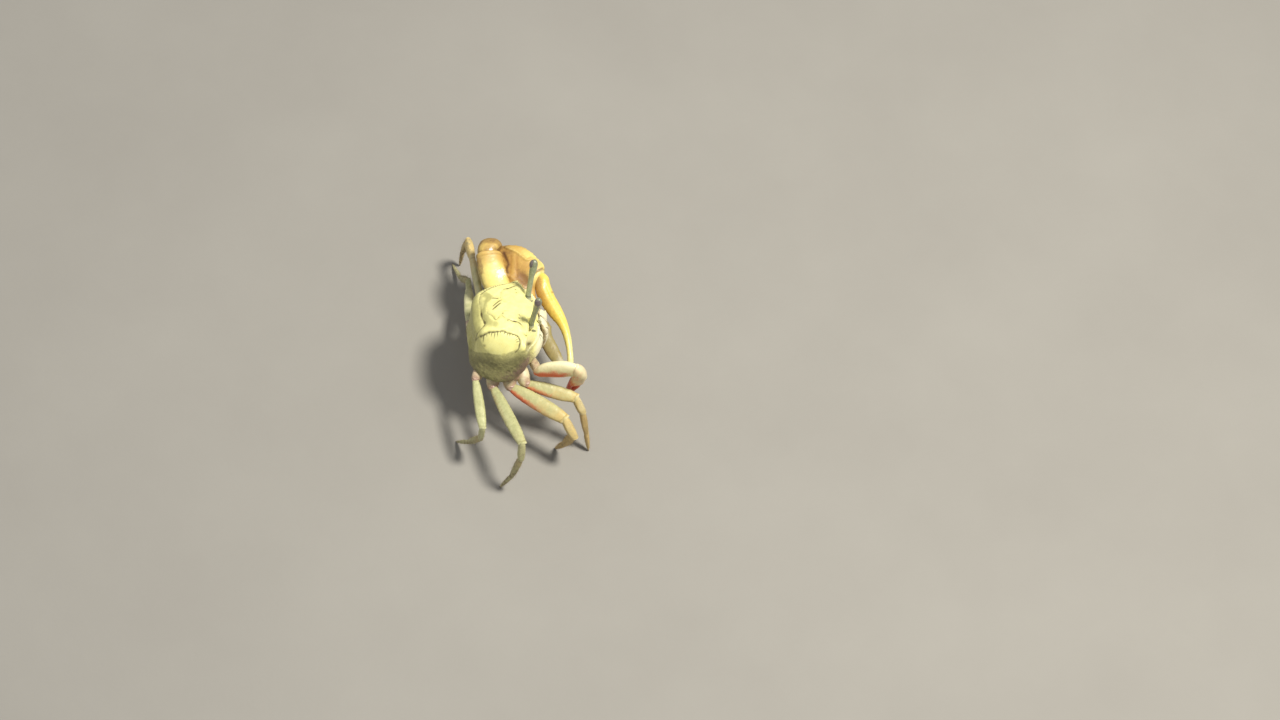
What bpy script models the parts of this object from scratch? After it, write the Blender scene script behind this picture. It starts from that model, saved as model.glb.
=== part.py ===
"""A life-size standing fiddler crab, divided into its named plates and limb joints."""
import math

import bpy
import bmesh
from mathutils import Matrix, Vector

# ---- driving sizes, metres ----
CARAPACE_WIDTH = 0.020
JOINT_GAP = 0.0003

# ---- stance of the body over the floor ----
BODY_ROLL = math.radians(12.0)
STAND_HEIGHT = 1.280

# ---- proportions below are in carapace widths; +X the crab's left, +Y its back, +Z up ----
GAP = JOINT_GAP / CARAPACE_WIDTH
DOME_SIDE_DROP = 0.095
DOME_FRONT_DROP = 0.055
DOME_BACK_DROP = 0.120
# the long ridge on each side of the back, where the shell turns down: back, half width
RIDGE = [(-0.320, 0.520), (-0.165, 0.490), (-0.085, 0.405), (0.000, 0.372), (0.105, 0.328),
         (0.205, 0.290), (0.330, 0.270)]
RIDGE_FALL = 1.75
RIDGE_CURVE = 1.25
MARGIN_CONTROLS = [(0.0, -0.318), (0.080, -0.312), (0.122, -0.270), (0.150, -0.228),
                   (0.245, -0.226), (0.345, -0.212), (0.440, -0.176), (0.512, -0.194),
                   (0.502, -0.090), (0.476, 0.015), (0.420, 0.125), (0.320, 0.230),
                   (0.180, 0.300), (0.0, 0.325)]
EYE_BASE = (0.188, -0.252, -0.100)
EYE_TIP = (0.289, -0.292, 0.368)
STALK_RADIUS = 0.027
CORNEA_HALF = (0.036, 0.036, 0.052)
# latitudes of the rings of a cornea, degrees
CORNEA_LATITUDES = (-50.0, -20.0, 10.0, 35.0, 62.0)

# back of the shell: its middle and the shares of the way to the margin where a ring lies
SHELL_CENTRE = (0.0, 0.03)
SHELL_SHARES = (0.30, 0.58, 0.82, 0.95, 1.0)
SHELL_HALF_STEPS = 24
# walls: level, share of the edge's own drop, width share, push of the face, depth of the eye notch
SHELL_WALLS = [(-0.028, 1.0, 1.004, 0.000, 0.045), (-0.080, 0.9, 1.006, 0.030, 0.075),
               (-0.112, 0.8, 1.004, 0.110, 0.000), (-0.220, 0.5, 0.998, 0.170, 0.000),
               (-0.355, 0.2, 0.965, 0.155, 0.000), (-0.455, 0.0, 0.895, 0.065, 0.000)]
# behind the claws the walls go on down beside the leg roots, then turn up inside them
SKIRT_DROP = 0.085
SKIRT_SHARE = 0.850
SKIRT_INNER_SHARE = 0.660
SKIRT_FRONT = (-0.100, 0.020)
SKIRT_SIDE = (0.240, 0.340)
# breast plate: level and share of its full width
STERNUM_HALF = (0.245, 0.265)
STERNUM_LEVELS = ((-0.474, 0.84), (-0.520, 1.00), (-0.610, 0.98), (-0.670, 0.78))
# tail flap: its path (back, up), root half width, loss of width to the tip, half thickness
ABDOMEN_PATH = [(0.318, -0.480), (0.314, -0.560), (0.284, -0.668), (0.130, -0.716), (-0.080, -0.716)]
ABDOMEN_WIDTH = 0.150
ABDOMEN_TAPER = 0.105
ABDOMEN_HALF_THICK = 0.022
# mouth doors: level, outer reach, place of the face, half thickness
MOUTH_LEVELS = ((-0.135, 0.080, -0.372, 0.014), (-0.165, 0.118, -0.396, 0.024),
                (-0.270, 0.140, -0.424, 0.030), (-0.390, 0.134, -0.418, 0.030),
                (-0.500, 0.106, -0.380, 0.026), (-0.560, 0.064, -0.346, 0.016))
MOUTH_INNER = 0.010

# segment lengths: merus, carpus, propodus, dactyl
LEG_LENGTHS = {2: (0.52, 0.195, 0.295, 0.250),
               3: (0.65, 0.205, 0.305, 0.255),
               4: (0.79, 0.207, 0.328, 0.270),
               5: (0.54, 0.190, 0.310, 0.265)}
# full height of the flattened merus
LEG_HEIGHTS = {2: 0.138, 3: 0.154, 4: 0.124, 5: 0.100}
HIP_Y = {2: -0.240, 3: -0.085, 4: 0.102, 5: 0.280}
HIP_X = {2: 0.420, 3: 0.440, 4: 0.445, 5: 0.410}
HIP_Z = {2: -0.690, 3: -0.715, 4: -0.710, 5: -0.640}
ROOT_X = 0.275
ROOT_Y = {2: -0.175, 3: -0.055, 4: 0.085, 5: 0.215}
ROOT_Z = -0.600

# height and width of each leg segment as shares of the merus height
LEG_SHARES = {"coxa": (0.84, 0.80), "merus": (1.00, 0.62), "carpus": (0.76, 0.60),
              "propodus": (0.66, 0.49), "dactyl": (0.41, 0.36)}
# the flat faces of the right legs and of the last left one are turned this way, up and back; the
# other left ones stand on edge
RIGHT_FACING = (-0.708, 0.129, 0.694)
# outline of each leg segment: share of the way along it, height share, width share
LEG_PROFILES = {"coxa": [(0.0, 0.85, 0.85), (0.35, 1.0, 1.0), (0.8, 0.95, 0.95), (1.0, 0.72, 0.8)],
                "merus": [(0.0, 0.52, 0.74), (0.10, 0.74, 0.90), (0.32, 0.96, 1.0),
                          (0.60, 1.0, 1.0), (0.86, 0.84, 0.95), (1.0, 0.60, 0.84)],
                "carpus": [(0.0, 0.72, 0.80), (0.30, 0.98, 0.98), (0.75, 1.0, 1.0),
                           (1.0, 0.78, 0.84)],
                "propodus": [(0.0, 0.72, 0.80), (0.22, 1.0, 1.0), (0.65, 0.92, 0.92),
                             (1.0, 0.58, 0.66)]}

# posture: swing toward the back, rise of merus, carpus and propodus, extra swing of the foot
POSTURE = {("right", 2): (-72.0, -4.9, -63.5, -77.5, -4.0),
           ("right", 3): (-54.5, -8.0, -54.5, -121.0, 30.0),
           ("right", 4): (-18.0, -4.5, -88.0, -106.0, -31.0),
           ("right", 5): (-5.3, -20.5, -102.5, -131.0, -23.5),
           ("left", 2): (-15.0, 5.0, 2.0, -34.0, 0.0),
           ("left", 3): (-9.0, 9.0, 6.0, -36.0, 0.0),
           ("left", 4): (8.2, 19.0, 10.5, -61.5, 0.0),
           ("left", 5): (-4.0, -6.0, -12.0, -36.0, 17.0)}
TIP_RADIUS = 0.020

# big claw: shoulder, elbow, wrist and finger tips
BIG_ROOT = (0.275, -0.240, -0.505)
BIG_SHOULDER = (0.450, -0.200, -0.530)
BIG_ELBOW = (0.918, 0.075, -0.180)
BIG_CARPUS_END = (1.125, 0.030, -0.205)
BIG_HEEL_CUT = (1.080, -0.058, -0.240)
BIG_WRIST = (1.025, -0.081, -0.300)
BIG_TIP = (-0.123, -0.740, -0.791)
# the arm lies flat against the flank of the shell along this plane
FLANK_POINT = (0.540, 0.000, -0.200)
FLANK_FACING = (-0.900, 0.000, 0.436)
PALM_FACING = (-0.708, 0.129, 0.694)
# stations of the palm and fixed finger: along, lower edge, upper edge, inner half, outer half
PALM_STATIONS = [(-0.100, -0.035, 0.075, 0.040, 0.050),
                 (-0.065, -0.065, 0.135, 0.050, 0.085),
                 (0.005, -0.098, 0.218, 0.058, 0.115),
                 (0.095, -0.122, 0.268, 0.066, 0.140),
                 (0.200, -0.140, 0.297, 0.072, 0.150),
                 (0.335, -0.150, 0.305, 0.076, 0.145),
                 (0.382, -0.152, 0.250, 0.076, 0.132),
                 (0.425, -0.150, 0.146, 0.074, 0.116),
                 (0.520, -0.140, 0.084, 0.066, 0.096),
                 (0.600, -0.126, 0.068, 0.060, 0.082),
                 (0.680, -0.112, 0.052, 0.054, 0.070),
                 (0.860, -0.108, 0.044, 0.048, 0.058),
                 (1.000, -0.130, 0.012, 0.044, 0.050),
                 (1.140, -0.138, 0.002, 0.038, 0.042),
                 (1.250, -0.120, -0.016, 0.032, 0.034),
                 (1.330, -0.095, -0.034, 0.024, 0.024),
                 (1.385, -0.072, -0.044, 0.014, 0.014)]
# stations of the moving finger: along, lower edge, upper edge, half thickness
FINGER_STATIONS = [(0.402, 0.225, 0.284, 0.046),
                   (0.432, 0.168, 0.292, 0.060),
                   (0.500, 0.104, 0.268, 0.063),
                   (0.620, 0.086, 0.251, 0.060),
                   (0.780, 0.094, 0.242, 0.056),
                   (0.940, 0.116, 0.217, 0.050),
                   (1.100, 0.092, 0.168, 0.044),
                   (1.230, 0.046, 0.112, 0.037),
                   (1.340, -0.008, 0.056, 0.028),
                   (1.412, -0.024, 0.006, 0.017)]
FINGER_SET_BACK = 0.010
# big claw's arm: height, width, then outline as for the legs
BIG_COXA_SIZE = (0.112, 0.105)
BIG_MERUS_SIZE = (0.270, 0.186)
BIG_CARPUS_SIZE = (0.250, 0.250)
BIG_MERUS_BOW = 0.060
BIG_MERUS_PROFILE = [(0.0, 0.38, 0.50), (0.14, 0.60, 0.68), (0.36, 0.90, 0.92), (0.66, 1.0, 1.0),
                     (0.88, 0.96, 0.96), (1.0, 0.80, 0.80)]
BIG_CARPUS_PROFILE = [(0.0, 0.82, 0.84), (0.22, 1.0, 1.0), (0.50, 1.0, 1.0), (0.78, 0.84, 0.84),
                      (0.94, 0.58, 0.58), (1.0, 0.34, 0.34)]

# small claw: hip, bend, wrist, finger ends
SMALL_HIP = (-0.400, -0.345, -0.520)
SMALL_ELBOW = (-0.520, -0.700, -0.400)
SMALL_WRIST = (-0.490, -0.765, -0.510)
SMALL_TIP = (-0.385, -0.690, -0.820)
SMALL_ROOT = (-0.275, -0.300, -0.510)
SMALL_COXA_SIZE = (0.100, 0.095)
SMALL_MERUS_SIZE = (0.170, 0.110)
SMALL_CARPUS_SIZE = (0.112, 0.105)
SMALL_MERUS_PROFILE = [(0.0, 0.72, 0.80), (0.3, 1.0, 1.0), (0.75, 1.0, 1.0), (1.0, 0.80, 0.84)]
SMALL_CARPUS_PROFILE = [(0.0, 0.86, 0.86), (0.5, 1.0, 1.0), (1.0, 0.84, 0.84)]
# hand with its fixed finger, then moving finger: along, lower edge, upper edge, half thickness
SMALL_HAND_STATIONS = [(0.0, -0.040, 0.040, 0.036), (0.035, -0.056, 0.052, 0.045),
                       (0.105, -0.058, 0.054, 0.046), (0.135, -0.056, 0.008, 0.040),
                       (0.170, -0.052, -0.006, 0.032), (0.260, -0.044, -0.008, 0.026),
                       (0.325, -0.028, -0.010, 0.016)]
SMALL_FINGER_STATIONS = [(0.130, 0.026, 0.050, 0.026), (0.165, 0.014, 0.054, 0.030),
                         (0.250, 0.010, 0.044, 0.025), (0.325, 0.006, 0.024, 0.015)]

COLOURS = {
    "shell": ((0.72, 0.68, 0.24), 0.42),
    "under": ((0.62, 0.58, 0.38), 0.55),
    "stalk": ((0.38, 0.41, 0.28), 0.40),
    "cornea": ((0.10, 0.09, 0.09), 0.12),
    "claw": ((0.80, 0.48, 0.13), 0.38),
    "finger": ((0.86, 0.66, 0.26), 0.34),
    "leg": ((0.66, 0.66, 0.36), 0.50),
    "foot": ((0.58, 0.45, 0.26), 0.55),
    "red": ((0.78, 0.26, 0.16), 0.45),
}


def clear_scene():
    for item in list(bpy.data.objects):
        bpy.data.objects.remove(item, do_unlink=True)
    for mesh in list(bpy.data.meshes):
        bpy.data.meshes.remove(mesh)


def material_for(node, kind):
    colour, rough = COLOURS[kind]
    mat = bpy.data.materials.new(node)
    mat.use_nodes = True
    shader = mat.node_tree.nodes["Principled BSDF"]
    shader.inputs["Base Color"].default_value = (colour[0], colour[1], colour[2], 1.0)
    shader.inputs["Roughness"].default_value = rough
    shader.inputs["Metallic"].default_value = 0.0
    mat.diffuse_color = (colour[0], colour[1], colour[2], 1.0)
    return mat


def floor_normal():
    """Up direction of the floor, told in the body's own axes."""
    return Vector((-math.sin(BODY_ROLL), 0.0, math.cos(BODY_ROLL)))


def rings_to_object(node, kind, rings, collection):
    """Close a stack of equal rings into one solid; a one-point ring is a pole."""
    bm = bmesh.new()
    made = [[bm.verts.new(p) for p in ring] for ring in rings]
    for low, high in zip(made, made[1:]):
        count = max(len(low), len(high))
        for i in range(count):
            j = (i + 1) % count
            if len(low) == 1:
                bm.faces.new((low[0], high[j], high[i]))
            elif len(high) == 1:
                bm.faces.new((low[i], low[j], high[0]))
            else:
                bm.faces.new((low[i], low[j], high[j], high[i]))
    for ring in (made[0], made[-1]):
        if len(ring) > 2:
            bm.faces.new(ring)
    bmesh.ops.recalc_face_normals(bm, faces=bm.faces)
    bmesh.ops.triangulate(bm, faces=bm.faces)
    turn = Matrix.Rotation(BODY_ROLL, 4, "Y")
    lift = Matrix.Translation((0.0, 0.0, STAND_HEIGHT))
    bmesh.ops.transform(bm, matrix=lift @ turn, verts=bm.verts)
    bmesh.ops.scale(bm, vec=(CARAPACE_WIDTH,) * 3, verts=bm.verts)
    mesh = bpy.data.meshes.new(node)
    bm.to_mesh(mesh)
    bm.free()
    obj = bpy.data.objects.new(node, mesh)
    obj.data.materials.append(material_for(node, kind))
    collection.objects.link(obj)
    return obj


def smooth_path(controls, count):
    """Points spaced along a Catmull-Rom curve through the controls."""
    spans = len(controls) - 1
    out = []
    for k in range(count + 1):
        u = k * spans / count
        i = min(int(u), spans - 1)
        t = u - i
        p0 = controls[max(i - 1, 0)]
        p1 = controls[i]
        p2 = controls[i + 1]
        p3 = controls[min(i + 2, spans)]
        point = []
        for a, b, c, d in zip(p0, p1, p2, p3):
            point.append(0.5 * (2 * b + (c - a) * t + (2 * a - 5 * b + 4 * c - d) * t * t
                                + (3 * b - a - 3 * c + d) * t ** 3))
        out.append(tuple(point))
    return out


def ridge_half_width(y):
    for (y0, x0), (y1, x1) in zip(RIDGE, RIDGE[1:]):
        if y <= y1:
            share = min(1.0, max(0.0, (y - y0) / (y1 - y0)))
            return x0 + (x1 - x0) * share
    return RIDGE[-1][1]


def dorsal_height(x, y):
    """Height of the arched back over a point of the carapace."""
    side = DOME_SIDE_DROP * (abs(x) / 0.5) ** 2.3
    side = side + RIDGE_FALL * max(0.0, abs(x) - ridge_half_width(y)) ** RIDGE_CURVE
    if y < 0.0:
        end = DOME_FRONT_DROP * (abs(y) / 0.315) ** 2.0
    else:
        end = DOME_BACK_DROP * (y / 0.330) ** 2.4
    return -side - end


def orbit_share(x, y):
    """One inside the eye notch of the front face, zero elsewhere."""
    if y > -0.10:
        return 0.0
    inner = min(1.0, max(0.0, (abs(x) - 0.120) / 0.035))
    outer = min(1.0, max(0.0, (0.470 - abs(x)) / 0.040))
    return inner * outer


def build_carapace(collection):
    half = smooth_path(MARGIN_CONTROLS, SHELL_HALF_STEPS)
    outline = half[:-1] + [(-x, y) for x, y in reversed(half[1:])]
    centre = SHELL_CENTRE
    rings = [[(centre[0], centre[1], dorsal_height(*centre))]]
    for share in SHELL_SHARES:
        ring = []
        for x, y in outline:
            px = centre[0] + (x - centre[0]) * share
            py = centre[1] + (y - centre[1]) * share
            ring.append((px, py, dorsal_height(px, py)))
        rings.append(ring)
    for level, keep, share, push, notch in SHELL_WALLS:
        ring = []
        for x, y in outline:
            front = min(1.0, max(0.0, (-y - 0.10) / 0.10)) * max(0.0, 1.0 - (abs(x) / 0.52) ** 3)
            mouth = 0.25 + 0.75 * min(1.0, abs(x) / 0.17) ** 3
            pull = notch * orbit_share(x, y)
            z = dorsal_height(x, y) * keep + level
            back = centre[1] + (y - centre[1]) * share
            ring.append((x * share, back - push * front * mouth + pull, z))
        rings.append(ring)
    wall_foot = rings[-1]
    for share, drop in ((SKIRT_SHARE, 1.0), (SKIRT_INNER_SHARE, 0.0)):
        ring = []
        for (x, y), foot in zip(outline, wall_foot):
            reach = min(1.0, max(0.0, (y - SKIRT_FRONT[0]) / (SKIRT_FRONT[1] - SKIRT_FRONT[0])))
            reach = reach * min(1.0, max(0.0, (abs(x) - SKIRT_SIDE[0]) / (SKIRT_SIDE[1] - SKIRT_SIDE[0])))
            ring.append((x * share, foot[1] * share, foot[2] - SKIRT_DROP * drop * reach))
        rings.append(ring)
    return rings_to_object("carapace", "shell", rings, collection)


def build_sternum(collection):
    rings = []
    for z, share in STERNUM_LEVELS:
        ring = []
        for k in range(20):
            a = 2.0 * math.pi * k / 20
            ca = math.cos(a)
            sa = math.sin(a)
            x = STERNUM_HALF[0] * share * math.copysign(abs(ca) ** 0.7, ca)
            y = -0.005 + STERNUM_HALF[1] * share * math.copysign(abs(sa) ** 0.7, sa)
            ring.append((x, y, z))
        rings.append(ring)
    return rings_to_object("sternum", "under", rings, collection)


def build_abdomen(collection):
    """Narrow male tail flap, folded forward under the body."""
    path = smooth_path(ABDOMEN_PATH, 8)
    rings = []
    for k, (y, z) in enumerate(path):
        share = k / (len(path) - 1)
        width = ABDOMEN_WIDTH - ABDOMEN_TAPER * share ** 1.3
        ahead = path[min(k + 1, len(path) - 1)]
        behind = path[max(k - 1, 0)]
        run = Vector((0.0, ahead[0] - behind[0], ahead[1] - behind[1])).normalized()
        out = Vector((0.0, -run.z, run.y))
        if out.y + (-out.z) < 0.0:
            out = -out
        ring = []
        for j in range(10):
            a = 2.0 * math.pi * j / 10
            offset = out * (ABDOMEN_HALF_THICK * math.sin(a))
            ring.append((width * math.cos(a), y + offset.y, z + offset.z))
        rings.append(ring)
    return rings_to_object("abdomen", "under", rings, collection)


def tube(node, kind, start, end, up, height, width, profile, collection,
         start_cut=None, end_cut=None, sides=10, bow=0.0, bulge=None, trims=()):
    """Flattened limb joint; every long line of it runs from one cut plane to the other."""
    a = Vector(start)
    b = Vector(end)
    axis = (b - a).normalized()
    rise = (Vector(up) - axis * Vector(up).dot(axis)).normalized()
    side = axis.cross(rise)
    start_cut = start_cut or (a + axis * GAP * 0.5, axis)
    end_cut = end_cut or (b - axis * GAP * 0.5, axis)
    rings = []
    for share, tall, wide in profile:
        ring = []
        for k in range(sides):
            ang = 2.0 * math.pi * (k + 0.5) / sides
            ca = math.cos(ang)
            sa = math.sin(ang)
            lift = 0.5 * height * tall * math.copysign(abs(ca) ** 0.8, ca)
            if bulge and ca > 0.0:
                lift = lift * (1.0 + bulge * math.sin(math.pi * share))
            lift = lift + bow * math.sin(math.pi * share)
            spread = 0.5 * width * wide * math.copysign(abs(sa) ** 0.8, sa)
            lateral = rise * lift + side * spread
            lows = (start_cut[0] - a - lateral).dot(start_cut[1]) / axis.dot(start_cut[1])
            highs = (end_cut[0] - a - lateral).dot(end_cut[1]) / axis.dot(end_cut[1])
            spot = a + lateral + axis * (lows + (highs - lows) * share)
            for point, facing in trims:
                over = (spot - point).dot(facing) + GAP * 0.5
                if over > 0.0:
                    spot = spot - facing * over
            ring.append(spot)
        rings.append(ring)
    return rings_to_object(node, kind, rings, collection)


def mitre(joint, before, after):
    """Cut planes on both sides of a bent joint."""
    normal = (Vector(before).normalized() + Vector(after).normalized()).normalized()
    point = Vector(joint)
    return ((point - normal * GAP * 0.5, normal), (point + normal * GAP * 0.5, normal))


def direction(hand, swing, rise):
    e = math.radians(rise)
    s = math.radians(swing)
    return Vector((hand * math.cos(e) * math.cos(s), math.cos(e) * math.sin(s), math.sin(e)))


def leg_points(hand, pair):
    """Hip, knee, ankle, foot joint and tip of one walking leg."""
    name = "left" if hand > 0 else "right"
    swing, rise_merus, rise_carpus, rise_foot, turn = POSTURE[(name, pair)]
    lengths = LEG_LENGTHS[pair]
    points = [Vector((hand * HIP_X[pair], HIP_Y[pair], HIP_Z[pair]))]
    for length, rise, extra in ((lengths[0], rise_merus, 0.0), (lengths[1], rise_carpus, 0.0),
                                (lengths[2], rise_foot, turn)):
        points.append(points[-1] + direction(hand, swing + extra, rise) * length)
    up = floor_normal()
    height = points[-1].dot(up) + STAND_HEIGHT
    best = None
    for step in range(0, 1280):
        rise = rise_foot + (4.0 if hand < 0 else 30.0) - step * 0.125
        way = direction(hand, swing + turn, rise)
        miss = abs(height + way.dot(up) * lengths[3])
        score = miss * 400.0 + abs(rise - rise_foot) * 0.02
        if best is None or score < best[0]:
            best = (score, way)
    points.append(points[-1] + best[1] * lengths[3])
    return points


def build_leg(hand, pair, collection):
    tag = "leg_%s_%d_" % ("left" if hand > 0 else "right", pair)
    root = Vector((hand * ROOT_X, ROOT_Y[pair], ROOT_Z))
    points = leg_points(hand, pair)
    height = LEG_HEIGHTS[pair]
    runs = [points[0] - root] + [points[i + 1] - points[i] for i in range(4)]
    cuts = [mitre(points[i], runs[i], runs[i + 1]) for i in range(4)]
    side = Vector((hand, 0.0, 0.0))
    upward = Vector((0.0, 0.0, 1.0))
    edge = upward
    if hand < 0 or pair == 5:
        edge = Vector(RIGHT_FACING).cross(points[1] - points[0]).normalized()
        edge = edge * (1.0 if edge.z > 0.0 else -1.0)
    slanted = Vector((hand, 0.0, 0.8))
    outward = Vector((hand, 0.0, 0.35))
    floor_up = floor_normal()
    floor_cut = (-floor_up * STAND_HEIGHT, -floor_up)
    foot_height = height * LEG_SHARES["dactyl"][0]
    foot_width = height * LEG_SHARES["dactyl"][1]
    tall_tip = 2.0 * TIP_RADIUS / foot_height
    wide_tip = 2.0 * TIP_RADIUS / foot_width
    profiles = dict(LEG_PROFILES)
    profiles["dactyl"] = [(0.0, 0.80, 0.84), (0.18, 1.0, 1.0), (0.55, 0.80, 0.80),
                          (0.88, tall_tip * 1.1, wide_tip * 1.1),
                          (1.0, tall_tip * 0.8, wide_tip * 0.8)]
    segments = (("coxa", "under", root, points[0], upward, (root, side), cuts[0][0], 10),
                ("merus", "leg", points[0], points[1], edge, cuts[0][1], cuts[1][0], 10),
                ("carpus", "leg", points[1], points[2], slanted, cuts[1][1], cuts[2][0], 10),
                ("propodus", "foot", points[2], points[3], outward, cuts[2][1], cuts[3][0], 10),
                ("dactyl", "foot", points[3], points[4], outward, cuts[3][1], floor_cut, 8))
    for segment, kind, start, end, up, start_cut, end_cut, sides in segments:
        tall, wide = LEG_SHARES[segment]
        tube(tag + segment, kind, start, end, up, height * tall, height * wide,
             profiles[segment], collection, start_cut, end_cut, sides)


def claw_axes():
    wrist = Vector(BIG_WRIST)
    along = (Vector(BIG_TIP) - wrist).normalized()
    facing = Vector(PALM_FACING)
    facing = (facing - along * facing.dot(along)).normalized()
    upper = facing.cross(along)
    return wrist, along, upper, facing


def build_big_claw(collection):
    shoulder = Vector(BIG_SHOULDER)
    elbow = Vector(BIG_ELBOW)
    wrist, along, upper, facing = claw_axes()
    root = Vector(BIG_ROOT)
    arm = elbow - shoulder
    fore = Vector(BIG_CARPUS_END) - elbow
    cut_shoulder = mitre(shoulder, shoulder - root, arm)
    cut_elbow = mitre(elbow, arm, fore)
    heel_facing = (along - upper * 0.10).normalized()
    heel_facing = (heel_facing * 0.55 + Vector((0.0, -1.0, 0.0)) * 0.45).normalized()
    heel = Vector(BIG_HEEL_CUT)
    flank = (Vector(FLANK_POINT), Vector(FLANK_FACING))
    upward = Vector((0.0, 0.0, 1.0))
    backward = Vector((0.0, 1.0, 0.0))
    outward = Vector((0.4, 0.05, 0.9))
    tube("claw_big_coxa", "under", root, shoulder, upward, *BIG_COXA_SIZE,
         [(0.0, 0.9, 0.9), (0.4, 1.0, 1.0), (1.0, 0.85, 0.85)], collection,
         (root, Vector((1.0, 0.0, 0.0))), cut_shoulder[0])
    tube("claw_big_merus", "claw", shoulder, elbow, backward, *BIG_MERUS_SIZE,
         BIG_MERUS_PROFILE, collection, cut_shoulder[1], cut_elbow[0], 12, BIG_MERUS_BOW,
         None, (flank,))
    tube("claw_big_carpus", "claw", elbow, Vector(BIG_CARPUS_END), outward, *BIG_CARPUS_SIZE,
         BIG_CARPUS_PROFILE, collection, cut_elbow[1], None, 12, 0.0, 0.10,
         ((heel, heel_facing),))
    rings = []
    for s, low, high, inner, outer in PALM_STATIONS:
        ring = []
        for k in range(14):
            ang = 2.0 * math.pi * k / 14
            t = 0.5 * (low + high) + 0.5 * (high - low) * math.cos(ang)
            n = math.sin(ang) * (inner if math.sin(ang) > 0.0 else outer)
            lateral = upper * t + facing * n
            spot = wrist + lateral + along * s
            short = (spot - heel).dot(heel_facing) - GAP * 0.5
            if short < 0.0:
                spot = spot - heel_facing * short
            ring.append(spot)
        rings.append(ring)
    rings_to_object("claw_big_propodus", "claw", rings, collection)
    rings = []
    for s, low, high, half in FINGER_STATIONS:
        ring = []
        for k in range(12):
            ang = 2.0 * math.pi * k / 12
            t = 0.5 * (low + high) + 0.5 * (high - low) * math.cos(ang)
            out = half * math.sin(ang) - FINGER_SET_BACK
            ring.append(wrist + upper * t + facing * out + along * s)
        rings.append(ring)
    rings_to_object("claw_big_dactyl", "finger", rings, collection)


def build_small_claw(collection):
    root = Vector(SMALL_ROOT)
    hip = Vector(SMALL_HIP)
    elbow = Vector(SMALL_ELBOW)
    wrist = Vector(SMALL_WRIST)
    tip = Vector(SMALL_TIP)
    up = Vector((0.0, 0.0, 1.0))
    arm = elbow - hip
    fore = wrist - elbow
    hand = (tip - wrist).normalized()
    cut_hip = mitre(hip, hip - root, arm)
    cut_elbow = mitre(elbow, arm, fore)
    cut_wrist = mitre(wrist, fore, hand)
    tube("claw_small_coxa", "under", root, hip, up, *SMALL_COXA_SIZE,
         [(0.0, 0.9, 0.9), (0.4, 1.0, 1.0), (1.0, 0.9, 0.9)], collection,
         (root, Vector((-1.0, 0.0, 0.0))), cut_hip[0])
    tube("claw_small_merus", "red", hip, elbow, up, *SMALL_MERUS_SIZE,
         SMALL_MERUS_PROFILE, collection, cut_hip[1], cut_elbow[0])
    tube("claw_small_carpus", "leg", elbow, wrist, Vector((-0.2, -1.0, 0.4)),
         *SMALL_CARPUS_SIZE, SMALL_CARPUS_PROFILE, collection, cut_elbow[1], cut_wrist[0])
    upper = Vector((0.0, -1.0, 0.0))
    upper = (upper - hand * upper.dot(hand)).normalized()
    side = hand.cross(upper)
    rings = []
    for s, low, high, half in SMALL_HAND_STATIONS:
        ring = []
        for k in range(10):
            ang = 2.0 * math.pi * k / 10
            t = 0.5 * (low + high) + 0.5 * (high - low) * math.cos(ang)
            lateral = upper * t + side * half * math.sin(ang)
            base = cut_wrist[1]
            first = (base[0] - wrist - lateral).dot(base[1]) / hand.dot(base[1])
            fade = max(0.0, 1.0 - s / 0.10)
            ring.append(wrist + lateral + hand * (s + first * fade))
        rings.append(ring)
    rings_to_object("claw_small_propodus", "red", rings, collection)
    rings = []
    for s, low, high, half in SMALL_FINGER_STATIONS:
        ring = []
        for k in range(8):
            ang = 2.0 * math.pi * k / 8
            t = 0.5 * (low + high) + 0.5 * (high - low) * math.cos(ang)
            ring.append(wrist + upper * t + side * half * math.sin(ang) + hand * s)
        rings.append(ring)
    rings_to_object("claw_small_dactyl", "red", rings, collection)


def build_eye(hand, collection):
    name = "left" if hand > 0 else "right"
    base = Vector((hand * EYE_BASE[0], EYE_BASE[1], EYE_BASE[2]))
    tip = Vector((hand * EYE_TIP[0], EYE_TIP[1], EYE_TIP[2]))
    axis = (tip - base).normalized()
    middle = tip - axis * CORNEA_HALF[2]
    neck = tip - axis * (2.0 * CORNEA_HALF[2])
    size = 2.0 * STALK_RADIUS
    forward = Vector((0.0, -1.0, 0.0))
    tube("eyestalk_" + name, "stalk", base, neck, forward, size, size,
         [(0.0, 1.05, 1.1), (0.2, 1.0, 1.0), (0.8, 0.92, 0.92), (1.0, 1.0, 1.0)],
         collection, None, None, 8)
    rise = (forward - axis * forward.dot(axis)).normalized()
    side = axis.cross(rise)
    rings = [[middle - axis * (CORNEA_HALF[2] - GAP * 0.5)]]
    for turn in CORNEA_LATITUDES:
        ring = []
        for k in range(10):
            ang = 2.0 * math.pi * k / 10
            flat = math.cos(math.radians(turn))
            across = rise * (CORNEA_HALF[0] * flat * math.cos(ang))
            across = across + side * (CORNEA_HALF[1] * flat * math.sin(ang))
            ring.append(middle + across + axis * (CORNEA_HALF[2] * math.sin(math.radians(turn))))
        rings.append(ring)
    rings.append([tip])
    rings_to_object("cornea_" + name, "cornea", rings, collection)


def build_maxilliped(hand, collection):
    """One of the two doors of plate that close the mouth."""
    name = "left" if hand > 0 else "right"
    rings = []
    for z, reach, near, half in MOUTH_LEVELS:
        ring = []
        middle = 0.5 * (reach + MOUTH_INNER)
        wide = 0.5 * (reach - MOUTH_INNER)
        for k in range(10):
            ang = 2.0 * math.pi * k / 10
            ring.append((hand * (middle + wide * math.cos(ang)), near + half * math.sin(ang), z))
        rings.append(ring)
    rings_to_object("maxilliped_" + name, "under", rings, collection)


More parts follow.
